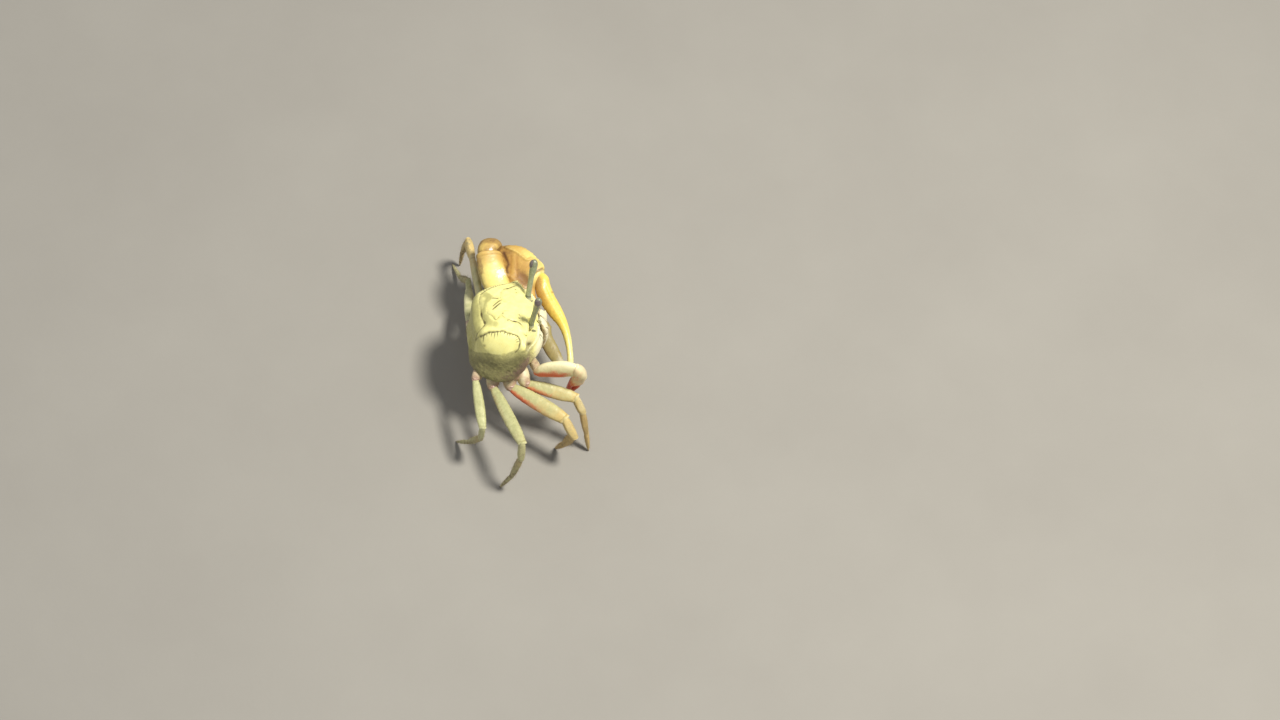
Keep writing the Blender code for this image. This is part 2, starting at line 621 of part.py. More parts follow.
def settle_on_origin(collection):
    """Put the bottom centre of everything on the world origin."""
    low = Vector((1e9, 1e9, 1e9))
    high = Vector((-1e9, -1e9, -1e9))
    for obj in collection.objects:
        for vert in obj.data.vertices:
            for i in range(3):
                low[i] = min(low[i], vert.co[i])
                high[i] = max(high[i], vert.co[i])
    shift = Vector((-(low.x + high.x) / 2.0, -(low.y + high.y) / 2.0, 0.0))
    for obj in collection.objects:
        obj.data.transform(Matrix.Translation(shift))
        for vert in obj.data.vertices:
            if abs(vert.co.z) < 2e-5:
                vert.co.z = 0.0


def main():
    clear_scene()
    crab = bpy.data.collections.new("fiddler_crab")
    bpy.context.scene.collection.children.link(crab)
    build_carapace(crab)
    build_sternum(crab)
    build_abdomen(crab)
    for hand in (1, -1):
        build_maxilliped(hand, crab)
        build_eye(hand, crab)
    build_big_claw(crab)
    build_small_claw(crab)
    for hand in (1, -1):
        for pair in (2, 3, 4, 5):
            build_leg(hand, pair, crab)
    settle_on_origin(crab)


main()
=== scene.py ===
"""Looks of a life-size standing fiddler crab: shell plates, claws, eyes, soft joints and bristles."""
import functools
import math

import bpy
import numpy as np
from mathutils import Matrix, Vector


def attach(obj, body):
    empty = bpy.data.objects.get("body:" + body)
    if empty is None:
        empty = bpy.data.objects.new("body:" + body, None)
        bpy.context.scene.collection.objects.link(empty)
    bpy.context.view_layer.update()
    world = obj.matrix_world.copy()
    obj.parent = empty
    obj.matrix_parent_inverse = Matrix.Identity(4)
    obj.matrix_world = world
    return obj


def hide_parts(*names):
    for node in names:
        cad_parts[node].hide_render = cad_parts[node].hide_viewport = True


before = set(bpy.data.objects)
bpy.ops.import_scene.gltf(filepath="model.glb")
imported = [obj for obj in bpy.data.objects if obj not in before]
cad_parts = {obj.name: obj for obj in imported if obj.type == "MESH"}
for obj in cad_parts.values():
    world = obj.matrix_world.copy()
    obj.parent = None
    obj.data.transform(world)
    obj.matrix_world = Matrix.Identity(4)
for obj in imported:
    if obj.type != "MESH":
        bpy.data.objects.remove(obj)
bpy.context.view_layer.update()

# ---- the body's own frame: +X the crab's left, +Y its back, +Z up; lengths in shell widths ----
SHELL_WIDTH = 0.02
SHELL_BACK = 0.3268
MM = 0.001


def vertices_of(node):
    """Corner points of a CAD node, each once."""
    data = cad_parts[node].data
    flat = np.empty(len(data.vertices) * 3, np.float32)
    data.vertices.foreach_get("co", flat)
    return np.unique(np.round(flat.reshape(-1, 3).astype(float), 7), axis=0)


def unit(vector):
    """A vector, or every row of vectors, at length one."""
    vector = np.asarray(vector, float)
    return vector / np.linalg.norm(vector, axis=-1, keepdims=True)


def square_to(vector, axis):
    """The direction nearest to the vector that stands at right angles to the axis."""
    vector = np.asarray(vector, float)
    return unit(vector - axis * (vector @ axis))


def body_axes():
    """Origin and axes of the body, from its two eyes and its shell."""
    left = vertices_of("cornea_left").mean(0)
    right = vertices_of("cornea_right").mean(0)
    shell = vertices_of("carapace")
    sideways = unit(left - right)
    backward = np.array([0.0, 1.0, 0.0])
    upward = np.cross(sideways, backward)
    origin = sideways * (0.5 * (left + right) @ sideways)
    origin = origin + backward * (shell[:, 1].max() - SHELL_BACK * SHELL_WIDTH)
    origin = origin + upward * (shell @ upward).max()
    return origin, np.stack([sideways, backward, upward])


ORIGIN, AXES = body_axes()


def place(points):
    """Points in shell widths in the body's frame, as metres in the row's frame."""
    return ORIGIN + SHELL_WIDTH * np.asarray(points, float) @ AXES


def turned(vector):
    """A direction in the body's frame, in the row's frame."""
    return np.asarray(vector, float) @ AXES


# ---- shapes ----

def ramp(low, high, value):
    """A smooth climb from 0 at low to 1 at high."""
    share = clip((value - low) / (high - low))
    return share * share * (3.0 - 2.0 * share)


def clip(value):
    return np.clip(value, 0.0, 1.0)


def bell(value, width):
    return np.exp(-(value / width) ** 2)


def most(*fields):
    """The greatest of several fields at every point."""
    return functools.reduce(np.maximum, fields)


def boxy(value, power):
    """A sine or cosine drawn toward its ends, which squares the outline made of it."""
    return np.sign(value) * np.abs(value) ** power


def circle(count):
    """Angles round a ring, as one row."""
    return (2.0 * math.pi * np.arange(count) / count)[None]


def grain(points, size, seed):
    """Smooth random field from -1 to 1; its blobs measure the given thousandths of a unit."""
    spot = np.asarray(points, float) / (size * MM) + 512.0
    cell = np.floor(spot).astype(np.int64)
    part = spot - cell
    part = part * part * (3.0 - 2.0 * part)
    total = np.zeros(spot.shape[:-1])
    for corner in np.ndindex(2, 2, 2):
        mixed = np.full(total.shape, seed * 7919 + 12345, np.int64)
        weight = np.ones(total.shape)
        for axis, prime in enumerate((73856093, 19349663, 83492791)):
            mixed = mixed ^ ((cell[..., axis] + corner[axis]) * prime)
            weight = weight * (part[..., axis] if corner[axis] else 1.0 - part[..., axis])
        mixed = ((mixed ^ (mixed >> 13)) * 1274126177) & 0x7FFFFFFF
        mixed = mixed ^ (mixed >> 15)
        total += weight * ((mixed & 0xFFFF) / 32767.5 - 1.0)
    return total


def smooth_table(table, at):
    """Smooth curve through a table whose first column is the place along it."""
    table = np.asarray(table, float)
    knots = table[:, 0]
    values = table[:, 1:]
    slopes = np.gradient(values, knots, axis=0)
    at = np.clip(np.asarray(at, float), knots[0], knots[-1])
    i = np.clip(np.searchsorted(knots, at, side="right") - 1, 0, len(knots) - 2)
    span = (knots[i + 1] - knots[i])[:, None]
    t = (at - knots[i])[:, None] / span
    return ((2 * t ** 3 - 3 * t ** 2 + 1) * values[i] + (t ** 3 - 2 * t ** 2 + t) * span * slopes[i]
            + (3 * t ** 2 - 2 * t ** 3) * values[i + 1] + (t ** 3 - t ** 2) * span * slopes[i + 1])


def columns(table, at):
    """The columns of a smooth table, each standing upright to meet a row of angles."""
    return smooth_table(table, at).T[..., None]


def smooth_path(controls, count, spare=0):
    """Points spaced along a smooth curve through the controls, without the spare ones at its ends."""
    controls = np.asarray(controls, float)
    table = np.column_stack([np.arange(len(controls)), controls])
    return smooth_table(table, np.linspace(spare, len(controls) - 1.0 - spare, count))


def to_path(points, path):
    """Distance of points to a drawn line, how far along it that is, and on which side."""
    points = np.asarray(points, float)
    path = np.asarray(path, float)
    best = np.full(points.shape[:-1], 1e9)
    along = np.zeros(best.shape)
    side = np.zeros(best.shape)
    run = 0.0
    for a, b in zip(path, path[1:]):
        step = b - a
        length = np.linalg.norm(step)
        share = clip(((points - a) @ step) / length ** 2)
        gap = points - a - share[..., None] * step
        apart = np.linalg.norm(gap, axis=-1)
        nearer = apart < best
        best = np.where(nearer, apart, best)
        along = np.where(nearer, run + share * length, along)
        if points.shape[-1] == 2:
            turn = step[0] * gap[..., 1] - step[1] * gap[..., 0]
            side = np.where(nearer, np.sign(turn), side)
        run += length
    return best, along, side


def grid_normals(points):
    """Outward directions of a closed tube of rings."""
    around = np.roll(points, -1, 1) - np.roll(points, 1, 1)
    along = np.gradient(points, axis=0)
    normal = np.cross(around, along)
    normal /= np.linalg.norm(normal, axis=2, keepdims=True) + 1e-15
    outward = points - points.mean(1, keepdims=True)
    return normal * (1.0 if (outward * normal).sum() > 0.0 else -1.0)


def pushed(points, amount):
    """The rings moved outward by the given amount at each point, in millimetres."""
    return points + grid_normals(points) * (MM * amount)[..., None]


def make_object(name, verts, faces, material, fields=None):
    mesh = bpy.data.meshes.new(name)
    mesh.from_pydata(np.asarray(verts).tolist(), [], faces)
    mesh.update()
    for field, values in (fields or {}).items():
        attribute = mesh.attributes.new(field, "FLOAT", "POINT")
        attribute.data.foreach_set("value", np.asarray(values, np.float32).ravel())
    mesh.shade_smooth()
    mesh.materials.append(material)
    obj = bpy.data.objects.new(name, mesh)
    bpy.context.scene.collection.objects.link(obj)
    return obj


def ring_faces(count, around, first=0):
    """Quads of a tube of rings, and a fan over each of its two ends."""
    index = first + np.arange(count * around).reshape(count, around)
    beside = np.roll(index, -1, 1)
    faces = np.stack([index[:-1], beside[:-1], beside[1:], index[1:]], -1).reshape(-1, 4).tolist()
    low, high = first + count * around, first + count * around + 1
    faces += [(low, int(b), int(a)) for a, b in zip(index[0], beside[0])]
    faces += [(high, int(a), int(b)) for a, b in zip(index[-1], beside[-1])]
    return faces


def solid(tubes, fields=None):
    """Points, faces and fields of one or more closed tubes of rings, faces outward."""
    verts = []
    faces = []
    held = {key: [] for key in (fields or [{}])[0]}
    first = 0
    for number, tube in enumerate(tubes):
        count, around = tube.shape[:2]
        ends = np.stack([tube[0].mean(0), tube[-1].mean(0)])
        normal = np.cross(np.roll(tube, -1, 1) - tube, np.gradient(tube, axis=0))
        outward = ((tube - tube.mean(1, keepdims=True)) * normal).sum() > 0.0
        made = ring_faces(count, around, first)
        faces += made if outward else [tuple(reversed(face)) for face in made]
        verts.append(np.concatenate([tube.reshape(-1, 3), ends]))
        for key in held:
            values = np.broadcast_to(fields[number][key], (count, around))
            held[key].append(np.concatenate([values.ravel(), [values[0].mean(), values[-1].mean()]]))
        first += count * around + 2
    return np.concatenate(verts), faces, {key: np.concatenate(held[key]) for key in held}


def piece(name, tubes, finish, nodes=(), fields=None):
    """A finished piece of the crab that rides on the frame and stands for its CAD nodes."""
    if isinstance(tubes, np.ndarray):
        tubes = [tubes]
        fields = [fields] if fields else None
    verts, faces, held = solid(tubes, fields)
    obj = make_object(name, verts, faces, FINISH[finish], held)
    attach(obj, "root")
    if nodes:
        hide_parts(*nodes)


# ---- materials ----

class Finish:
    """A material in the making: short ways to add its nodes and join them."""

    def __init__(self, name):
        self.material = bpy.data.materials.new(name)
        self.material.use_nodes = True
        self.tree = self.material.node_tree
        self.shader = self.tree.nodes["Principled BSDF"]
        self.place = self.add("ShaderNodeTexCoord", "Object")

    def add(self, kind, output, inputs=None, **settings):
        """A new node with its settings and inputs; gives the output named."""
        node = self.tree.nodes.new(kind)
        for key, value in settings.items():
            setattr(node, key, value)
        self.feed(node, inputs or {})
        return node.outputs[output]

    def feed(self, node, inputs):
        """Sets each named input of a node, or links it where the value is another node's output."""
        for key, value in inputs.items():
            if isinstance(value, bpy.types.NodeSocket):
                self.tree.links.new(value, node.inputs[key])
            else:
                is_colour = isinstance(value, tuple)
                node.inputs[key].default_value = (*value, 1.0) if is_colour else value

    def noise(self, size, detail=4.0, rough=0.6, warp=0.0):
        """Cloudy noise; sizes are in millimetres."""
        return self.add("ShaderNodeTexNoise", "Fac",
                        {"Vector": self.place, "Scale": 1.0 / (size * MM), "Detail": detail,
                         "Roughness": rough, "Distortion": warp})

    def cells(self, size):
        return self.add("ShaderNodeTexVoronoi", "Distance",
                        {"Vector": self.place, "Scale": 1.0 / (size * MM)}, feature="F1")

    def field(self, name):
        return self.add("ShaderNodeAttribute", "Fac", attribute_name=name)

    def spread(self, value, low, high, out_low=0.0, out_high=1.0):
        return self.add("ShaderNodeMapRange", "Result",
                        {"Value": value, "From Min": low, "From Max": high,
                         "To Min": out_low, "To Max": out_high})

    def combine(self, operation, a, b):
        return self.add("ShaderNodeMath", 0, {0: a, 1: b}, operation=operation)

    def mix(self, share, a, b):
        return self.add("ShaderNodeMix", "Result", {"Factor": share, "A": a, "B": b}, data_type="RGBA")

    def finish(self, colour, rough, height=None, relief=0.0, coat=0.0, coat_rough=0.03):
        """The finished material; its relief is in millimetres."""
        self.feed(self.shader, {"Base Color": colour, "Roughness": rough})
        if height is not None:
            bump = self.add("ShaderNodeBump", "Normal", {"Distance": relief * MM, "Height": height})
            self.feed(self.shader, {"Normal": bump})
        self.feed(self.shader, {"Coat Weight": coat, "Coat Roughness": coat_rough})
        return self.material


def shell_finish(name, light, dark, speck, masks, blotch=1.6, rough=(0.34, 0.56), relief=0.02,
                 speckle=(0.6, 0.72), coat=0.0, depth=1.0):
    """Mottled, finely grained crab shell; each mask is a field, a colour and how broken its edge is.
    Blotches and relief are in millimetres; depth is how dark the fine grain is."""
    make = Finish(name)
    coarse = make.noise(blotch, 5.0, 0.62, 0.4)
    fine = make.noise(FINE_GRAIN, 6.0, 0.7)
    middle = make.noise(0.34 * blotch, 6.0, 0.66, 0.8)
    colour = make.mix(make.spread(coarse, 0.36, 0.66), light, dark)
    colour = make.mix(make.spread(middle, speckle[0], speckle[1]), colour, speck)
    shade = tuple(channel * 0.62 for channel in dark)
    colour = make.mix(make.spread(fine, 0.5, 0.78, 0.0, 0.45 * depth), colour, shade)
    for field, tint, broken in masks:
        share = make.field(field)
        torn = make.spread(middle, 0.25, 0.75, -broken, broken)
        rest = make.combine("SUBTRACT", 1.0, share)
        edge = make.combine("MULTIPLY", torn, make.combine("MULTIPLY", share, rest))
        share = make.spread(make.combine("ADD", share, make.combine("MULTIPLY", edge, 4.0)), 0.0, 1.0)
        colour = make.mix(share, colour, tint)
    pits = make.spread(make.cells(PORES), 0.0, 0.35)
    height = make.combine("ADD", fine, make.combine("MULTIPLY", pits, 0.55))
    height = make.combine("ADD", height, make.combine("MULTIPLY", middle, 0.8))
    gloss = make.spread(middle, 0.3, 0.7, rough[0], rough[1])
    return make.finish(colour, gloss, height, relief, coat, 0.18)


# sizes of the shell's grain and pores, millimetres
FINE_GRAIN = 0.16
PORES = 0.3
YELLOW = (0.91, 0.86, 0.36)
BROWN = (0.13, 0.085, 0.03)
CREAM = (0.9, 0.85, 0.6)
CORAL = (0.66, 0.125, 0.05)
MUD = (0.2, 0.145, 0.085)


def make_finishes():
    soft = Finish("joint_skin")
    folds = soft.noise(0.3, 5.0, 0.6, 0.6)
    tint = soft.mix(soft.spread(folds, 0.35, 0.7), (0.52, 0.36, 0.27), (0.3, 0.17, 0.12))
    wet_gloss_and_painted_highlight = soft.spread(folds, 0.3, 0.7, 0.22, 0.42)
    eye = Finish("cornea")
    facets = eye.cells(0.045)
    haze = eye.noise(0.5, 3.0)
    dusk = eye.mix(eye.spread(haze, 0.35, 0.65), (0.105, 0.082, 0.08), (0.17, 0.135, 0.12))
    bristle = Finish("bristle")
    straw = bristle.mix(bristle.noise(0.25, 3.0), (0.2, 0.13, 0.06), (0.42, 0.31, 0.16))
    return {
        # the shell's flank tint is olive colour darkened further as painted shade
        "shell": shell_finish("carapace_shell", YELLOW, (0.88, 0.81, 0.29), (0.74, 0.67, 0.22),
                              (("dull", (0.5, 0.47, 0.17), 0.25), ("flank_olive_and_shade", (0.175, 0.16, 0.068), 0.22),
                               ("plum", (0.2, 0.125, 0.095), 0.8), ("pale", CREAM, 0.4),
                               ("groove", (0.085, 0.065, 0.022), 0.1)),
                              relief=0.016),
        # the claw's pale tint also paints highlights; its olive, brown and dark mark tints partly paint
        # shade
        "claw": shell_finish("claw_shell", (0.62, 0.4, 0.105), (0.55, 0.34, 0.085),
                             (0.47, 0.28, 0.07),
                             (("yellow", (0.87, 0.71, 0.22), 0.3), ("tan", (0.46, 0.25, 0.06), 0.3),
                              ("olive", (0.29, 0.25, 0.105), 0.3), ("brown", (0.24, 0.12, 0.042), 0.4),
                              ("pale", (0.66, 0.67, 0.64), 0.3), ("groove", (0.1, 0.04, 0.016), 0.2)),
                             blotch=2.2, rough=(0.4, 0.58), relief=0.012, coat=0.03, depth=0.35),
        # the finger's tan and brown tints paint the shade of its lower side, its pale tint partly the light
        # on its upper edge
        "finger": shell_finish("finger_shell", (0.86, 0.64, 0.12), (0.83, 0.6, 0.1),
                               (0.76, 0.52, 0.085),
                               (("tan", (0.46, 0.25, 0.05), 0.3), ("pale", (0.9, 0.86, 0.36), 0.3),
                                ("brown", (0.32, 0.18, 0.06), 0.4)),
                               blotch=2.6, rough=(0.3, 0.46), relief=0.007, coat=0.08, depth=0.25),
        "leg": shell_finish("leg_shell", (0.53, 0.525, 0.265), (0.405, 0.41, 0.195), (0.28, 0.28, 0.125),
                            (("orange", (0.62, 0.46, 0.17), 0.4), ("coral", CORAL, 0.5),
                             ("mud", (0.3, 0.245, 0.13), 0.8), ("pale", (0.82, 0.76, 0.5), 0.3),
                             ("groove", (0.2, 0.14, 0.06), 0.3)),
                            blotch=1.0, speckle=(0.58, 0.7), rough=(0.36, 0.6), relief=0.016, depth=0.6),
        "foot": shell_finish("foot_shell", (0.5, 0.41, 0.2), (0.4, 0.31, 0.14), (0.28, 0.2, 0.1),
                             (("orange", (0.56, 0.4, 0.16), 0.4),
                              ("green", (0.46, 0.45, 0.24), 0.7), ("mud", MUD, 0.9),
                              ("pale", (0.8, 0.72, 0.46), 0.3), ("groove", BROWN, 0.3)),
                             blotch=0.9, speckle=(0.56, 0.68), rough=(0.42, 0.7), relief=0.02, depth=0.8),
        "red": shell_finish("small_claw_shell", (0.8, 0.74, 0.4), (0.72, 0.62, 0.3),
                            (0.56, 0.44, 0.18),
                            (("coral", (0.74, 0.115, 0.04), 0.6), ("pale", CREAM, 0.3)),
                            blotch=1.0, rough=(0.26, 0.46), relief=0.014, coat=0.15),
        "under": shell_finish("underside_shell", (0.76, 0.69, 0.4), (0.64, 0.55, 0.31),
                              (0.42, 0.33, 0.18),
                              (("pink", (0.45, 0.3, 0.21), 0.7), ("pale", CREAM, 0.4),
                               ("mud", MUD, 0.9), ("groove", BROWN, 0.3)),
                              blotch=1.3, rough=(0.32, 0.56), relief=0.018),
        "stalk": shell_finish("eyestalk_shell", (0.36, 0.39, 0.24), (0.27, 0.3, 0.17),
                              (0.15, 0.16, 0.09),
                              (("pale", (0.66, 0.64, 0.42), 0.5), ("dark", (0.09, 0.08, 0.06), 0.6)),
                              blotch=0.8, rough=(0.26, 0.42), relief=0.006, coat=0.2),
        "skin": soft.finish(tint, wet_gloss_and_painted_highlight, folds, 0.06),
        "cornea": eye.finish(dusk, 0.14, facets, 0.004, 0.9, 0.05),
        "bristle": bristle.finish(straw, 0.55),
    }


FINISH = make_finishes()

# ---- carapace ----
MARGIN = [(0.0, -0.318), (0.08, -0.312), (0.122, -0.27), (0.15, -0.228), (0.245, -0.226),
          (0.345, -0.212), (0.44, -0.182), (0.494, -0.176), (0.506, -0.118), (0.498, -0.03),
          (0.47, 0.08), (0.416, 0.172), (0.338, 0.252), (0.2, 0.31), (0.0, 0.325)]
SHELL_CENTRE = (0.0, 0.03)
HALF_STEPS = 340
BACK_RINGS = 210
WALL_RINGS = 120
# the long ridge on each side of the back, where the shell turns down: back, half width
RIDGE = [(-0.32, 0.52), (-0.165, 0.49), (-0.085, 0.405), (0.0, 0.372), (0.105, 0.328),
         (0.205, 0.29), (0.33, 0.27)]
# walls: place down the wall, level, share of the edge's own drop, width share, push of the face,
# depth of the eye notch, extra drop of the notch's floor
WALLS = [(0.0, 0.0, 1.0, 1.0, 0.0, 0.0, 0.0), (0.07, -0.024, 1.0, 1.003, 0.0, 0.05, 0.0),
         (0.18, -0.08, 0.9, 1.006, 0.03, 0.092, 0.022), (0.26, -0.104, 0.8, 1.007, 0.07, 0.05, 0.026),
         (0.34, -0.112, 0.8, 1.008, 0.112, 0.0, -0.012), (0.42, -0.15, 0.7, 1.008, 0.142, 0.0, 0.0),
         (0.56, -0.22, 0.5, 1.006, 0.172, 0.0, 0.0), (0.76, -0.355, 0.2, 0.982, 0.155, 0.0, 0.0),
         (0.9, -0.44, 0.0, 0.925, 0.08, 0.0, 0.0), (1.0, -0.478, 0.0, 0.82, 0.02, 0.0, 0.0)]
EDGE_ROUND = 0.055
# depth below the top of the back at which the bright, sunlit side ends, from front to back; below it the
# olive side carries painted shade
BRIGHT_END = [(-0.3, 0.1), (-0.24, 0.114), (-0.19, 0.122), (-0.113, 0.139), (-0.049, 0.18),
              (0.015, 0.212), (0.091, 0.228), (0.176, 0.246), (0.246, 0.305), (0.3, 0.38),
              (0.33, 0.42)]
SKIRT_DROP = 0.15
# width share of the shell's lower edge, from front to back
SKIRT_WIDTH = [(-0.32, 0.82), (-0.12, 0.86), (0.0, 0.905), (0.12, 0.955), (0.22, 0.985), (0.33, 0.985)]
# the toothed ridge of each side and the fine lines of the back: points, depth, width, darkness
RIGHT_TEETH = [(-0.285, 0.276), (-0.302, 0.258), (-0.31, 0.225), (-0.309, 0.182), (-0.32, 0.139),
               (-0.326, 0.085), (-0.322, 0.039), (-0.338, 0.01), (-0.352, -0.03), (-0.378, -0.095),
               (-0.409, -0.118), (-0.441, -0.123), (-0.47, -0.116)]
LEFT_TEETH = [(0.238, 0.228), (0.262, 0.18), (0.298, 0.104), (0.365, -0.016), (0.424, -0.136),
              (0.455, -0.19)]
# lines on the shell's sides, as places in space, the spot at the outer corner of the eye notch, painted as
# the shade of a pocket, and a dark spot on the side
SIDE_LINES = [[(-0.239, 0.243, -0.074), (-0.258, 0.271, -0.102), (-0.256, 0.294, -0.167),
               (-0.252, 0.299, -0.242)],
              [(-0.252, 0.299, -0.242), (-0.264, 0.291, -0.206), (-0.298, 0.265, -0.141),
               (-0.31, 0.225, -0.099)],
              [(-0.468, -0.118, -0.116), (-0.477, -0.113, -0.139), (-0.484, -0.082, -0.179)]]
DULL_BAND = [(0.206, 0.178), (0.145, 0.15), (0.074, 0.19), (0.012, 0.208), (-0.047, 0.222),
             (-0.127, 0.196), (-0.218, 0.16), (-0.24, 0.112)]
CORNER_POCKET_SHADE = (-0.364, -0.227, -0.179)
SIDE_SCAR = (-0.367, 0.221, -0.2)
LINES = [([(0.256, -0.006), (0.285, -0.05), (0.3, -0.082), (0.361, -0.172)], 0.007, 0.01, 0.75),
         ([(-0.186, -0.01), (-0.2, -0.054), (-0.215, -0.114), (-0.262, -0.163)], 0.008, 0.01, 0.85),
         ([(-0.03, 0.176), (-0.078, 0.175), (-0.119, 0.14), (-0.184, 0.107), (-0.145, 0.07),
           (-0.105, 0.045)], 0.009, 0.011, 0.45),
         ([(0.03, 0.235), (-0.028, 0.239), (-0.104, 0.234), (-0.19, 0.215), (-0.213, 0.217),
           (-0.239, 0.243), (-0.258, 0.271)], 0.008, 0.011, 0.85),
         ([(0.07, 0.246), (0.165, 0.24), (0.232, 0.214)], 0.005, 0.01, 0.35),
         ([(-0.349, -0.177), (-0.385, -0.215), (-0.44, -0.205)], 0.006, 0.008, 0.7),
         ([(-0.18, -0.002), (-0.15, 0.03), (-0.11, 0.05)], 0.006, 0.01, 0.3),
         ([(0.09, 0.042), (0.15, 0.03), (0.215, 0.02), (0.256, -0.006)], 0.005, 0.01, 0.28)]
# paired swellings of the back: height, place across, half width, place back, half length
SWELLINGS = [(0.014, 0.0, 0.17, -0.1, 0.1), (0.012, 0.0, 0.12, 0.135, 0.065),
             (0.014, 0.235, 0.085, 0.06, 0.13), (0.012, 0.3, 0.07, -0.13, 0.05)]
SLITS = [((-0.031, 0.124), (0.045, 0.047)), ((0.011, 0.12), (0.09, 0.042)),
         ((0.129, 0.112), (0.122, 0.066))]
FAINT_LINES = [((0.055, -0.06), (0.058, 0.01)), ((-0.07, -0.03), (-0.068, 0.035))]
PITS = [(0.215, -0.134), (0.269, -0.13), (-0.115, -0.138), (-0.161, -0.134), (-0.202, -0.013),
        (-0.438, 0.232), (-0.1, 0.03)]


def ridge_half_width(y):
    return smooth_table(RIDGE, np.ravel(y))[:, 0].reshape(np.shape(y))


def dorsal_height(x, y):
    """Height of the arched back over a point of the carapace."""
    side = 0.095 * (np.abs(x) / 0.5) ** 2.3
    past = np.abs(x) - ridge_half_width(y)
    past = 0.5 * (past + np.sqrt(past ** 2 + 0.016 ** 2))
    side = side + 1.75 * past ** 1.25
    front = 0.055 * (np.abs(y) / 0.315) ** 2.0
    back = 0.12 * (np.abs(y) / 0.33) ** 2.4
    return -side - np.where(y < 0.0, front, back)


def orbit_share(x, y):
    """One inside the eye notch of the front face, zero elsewhere."""
    inner = ramp(0.118, 0.16, np.abs(x))
    outer = ramp(0.478, 0.425, np.abs(x))
    return inner * outer * (y < -0.1)


def toothed_ridge(spot, path, side_sign, spacing, strength):
    """A ridge with a comb of short dark notches on its outer side: relief and darkness."""
    apart, along, side = to_path(spot, smooth_path(path, 60))
    wobble = 0.25 * np.sin(along * 61.0) + 0.2 * np.sin(along * 143.0 + 1.0)
    comb = clip(0.5 + 0.5 * np.cos(along * 2.0 * math.pi / spacing + wobble))
    outer = (side * side_sign > 0.0) * 1.0
    reach = 0.042 + 0.016 * np.sin(along * 47.0)
    notch = outer * comb ** 4 * ramp(reach, 0.3 * reach, apart)
    whole = along.max()
    ends = ramp(0.0, 0.06, along) * ramp(whole, whole - 0.05, along)
    lift = -0.007 * bell(apart, 0.01) - 0.003 * notch * ends
    lift = lift + 0.005 * (1.0 - outer) * bell(apart - 0.022, 0.016)
    line = (0.75 + 0.25 * np.sin(along * 75.0) ** 2) * bell(apart, 0.008)
    return lift, strength * np.maximum(line, notch * ends)


def back_relief(x, y):
    """Swellings, grooves and pits of the back, in shell widths, with the darkness of its marks."""
    ax = np.abs(x - 0.04 * np.exp(-(x / 0.35) ** 4))
    spot = np.stack([x, y], -1)
    flat = np.stack([x, y, 0.0 * x], -1)
    waver = 0.004 * grain(flat, 30.0, 8)
    lift = 0.018 * bell(x + 0.43, 0.06) * bell(y + 0.02, 0.12)
    for height, across, wide, back, deep in SWELLINGS:
        lift += height * bell(ax - across, wide) * bell(y - back, deep)
    mark = np.zeros(x.shape)
    for path, depth, width, dark in LINES:
        apart, along, _ = to_path(spot, smooth_path(path, 30))
        apart = np.abs(apart + waver)
        whole = along.max()
        ends = ramp(0.0, 0.25 * whole, along) * ramp(whole, 0.75 * whole, along)
        uneven = (0.75 + 0.45 * np.sin(along * 52.0 + x * 40.0) ** 2) * (0.45 + 0.55 * ends)
        lift -= depth * bell(apart, 1.6 * width) * (0.4 + 0.6 * ends)
        mark = most(mark, 1.25 * dark * uneven * bell(apart, 0.85 * width),
                    0.3 * dark * bell(apart, 2.6 * width))
    for path, sign, strength in ((RIGHT_TEETH, -1.0, 1.0), (LEFT_TEETH, 1.0, 0.9)):
        raised, dark = toothed_ridge(spot, path, sign, 0.027, strength)
        lift += raised
        mark = most(mark, dark)
    for path in SLITS:
        apart = np.abs(to_path(spot, path)[0] + 0.5 * waver)
        lift -= 0.011 * bell(apart, 0.01)
        mark = most(mark, bell(apart, 0.0072), 0.3 * bell(apart, 0.024))
    for path in FAINT_LINES:
        apart = np.abs(to_path(spot, path)[0] + waver)
        lift -= 0.003 * bell(apart, 0.008)
        mark = most(mark, 0.35 * bell(apart, 0.005))
    for pit in PITS:
        apart = np.hypot(x - pit[0], y - pit[1])
        lift -= 0.007 * bell(apart, 0.009)
        mark = most(mark, 0.95 * bell(apart, 0.008))
    return lift + 0.003 * grain(flat, 55.0, 3) + 0.0014 * grain(flat, 22.0, 4), mark


def carapace_outline():
    mirror = np.array([-1.0, 1.0])
    margin = np.array(MARGIN)
    whole = np.concatenate([margin[2:0:-1] * mirror, margin, margin[-2:-4:-1] * mirror])
    half = smooth_path(whole, HALF_STEPS, 2)
    return np.concatenate([half, half[-2:0:-1] * mirror])


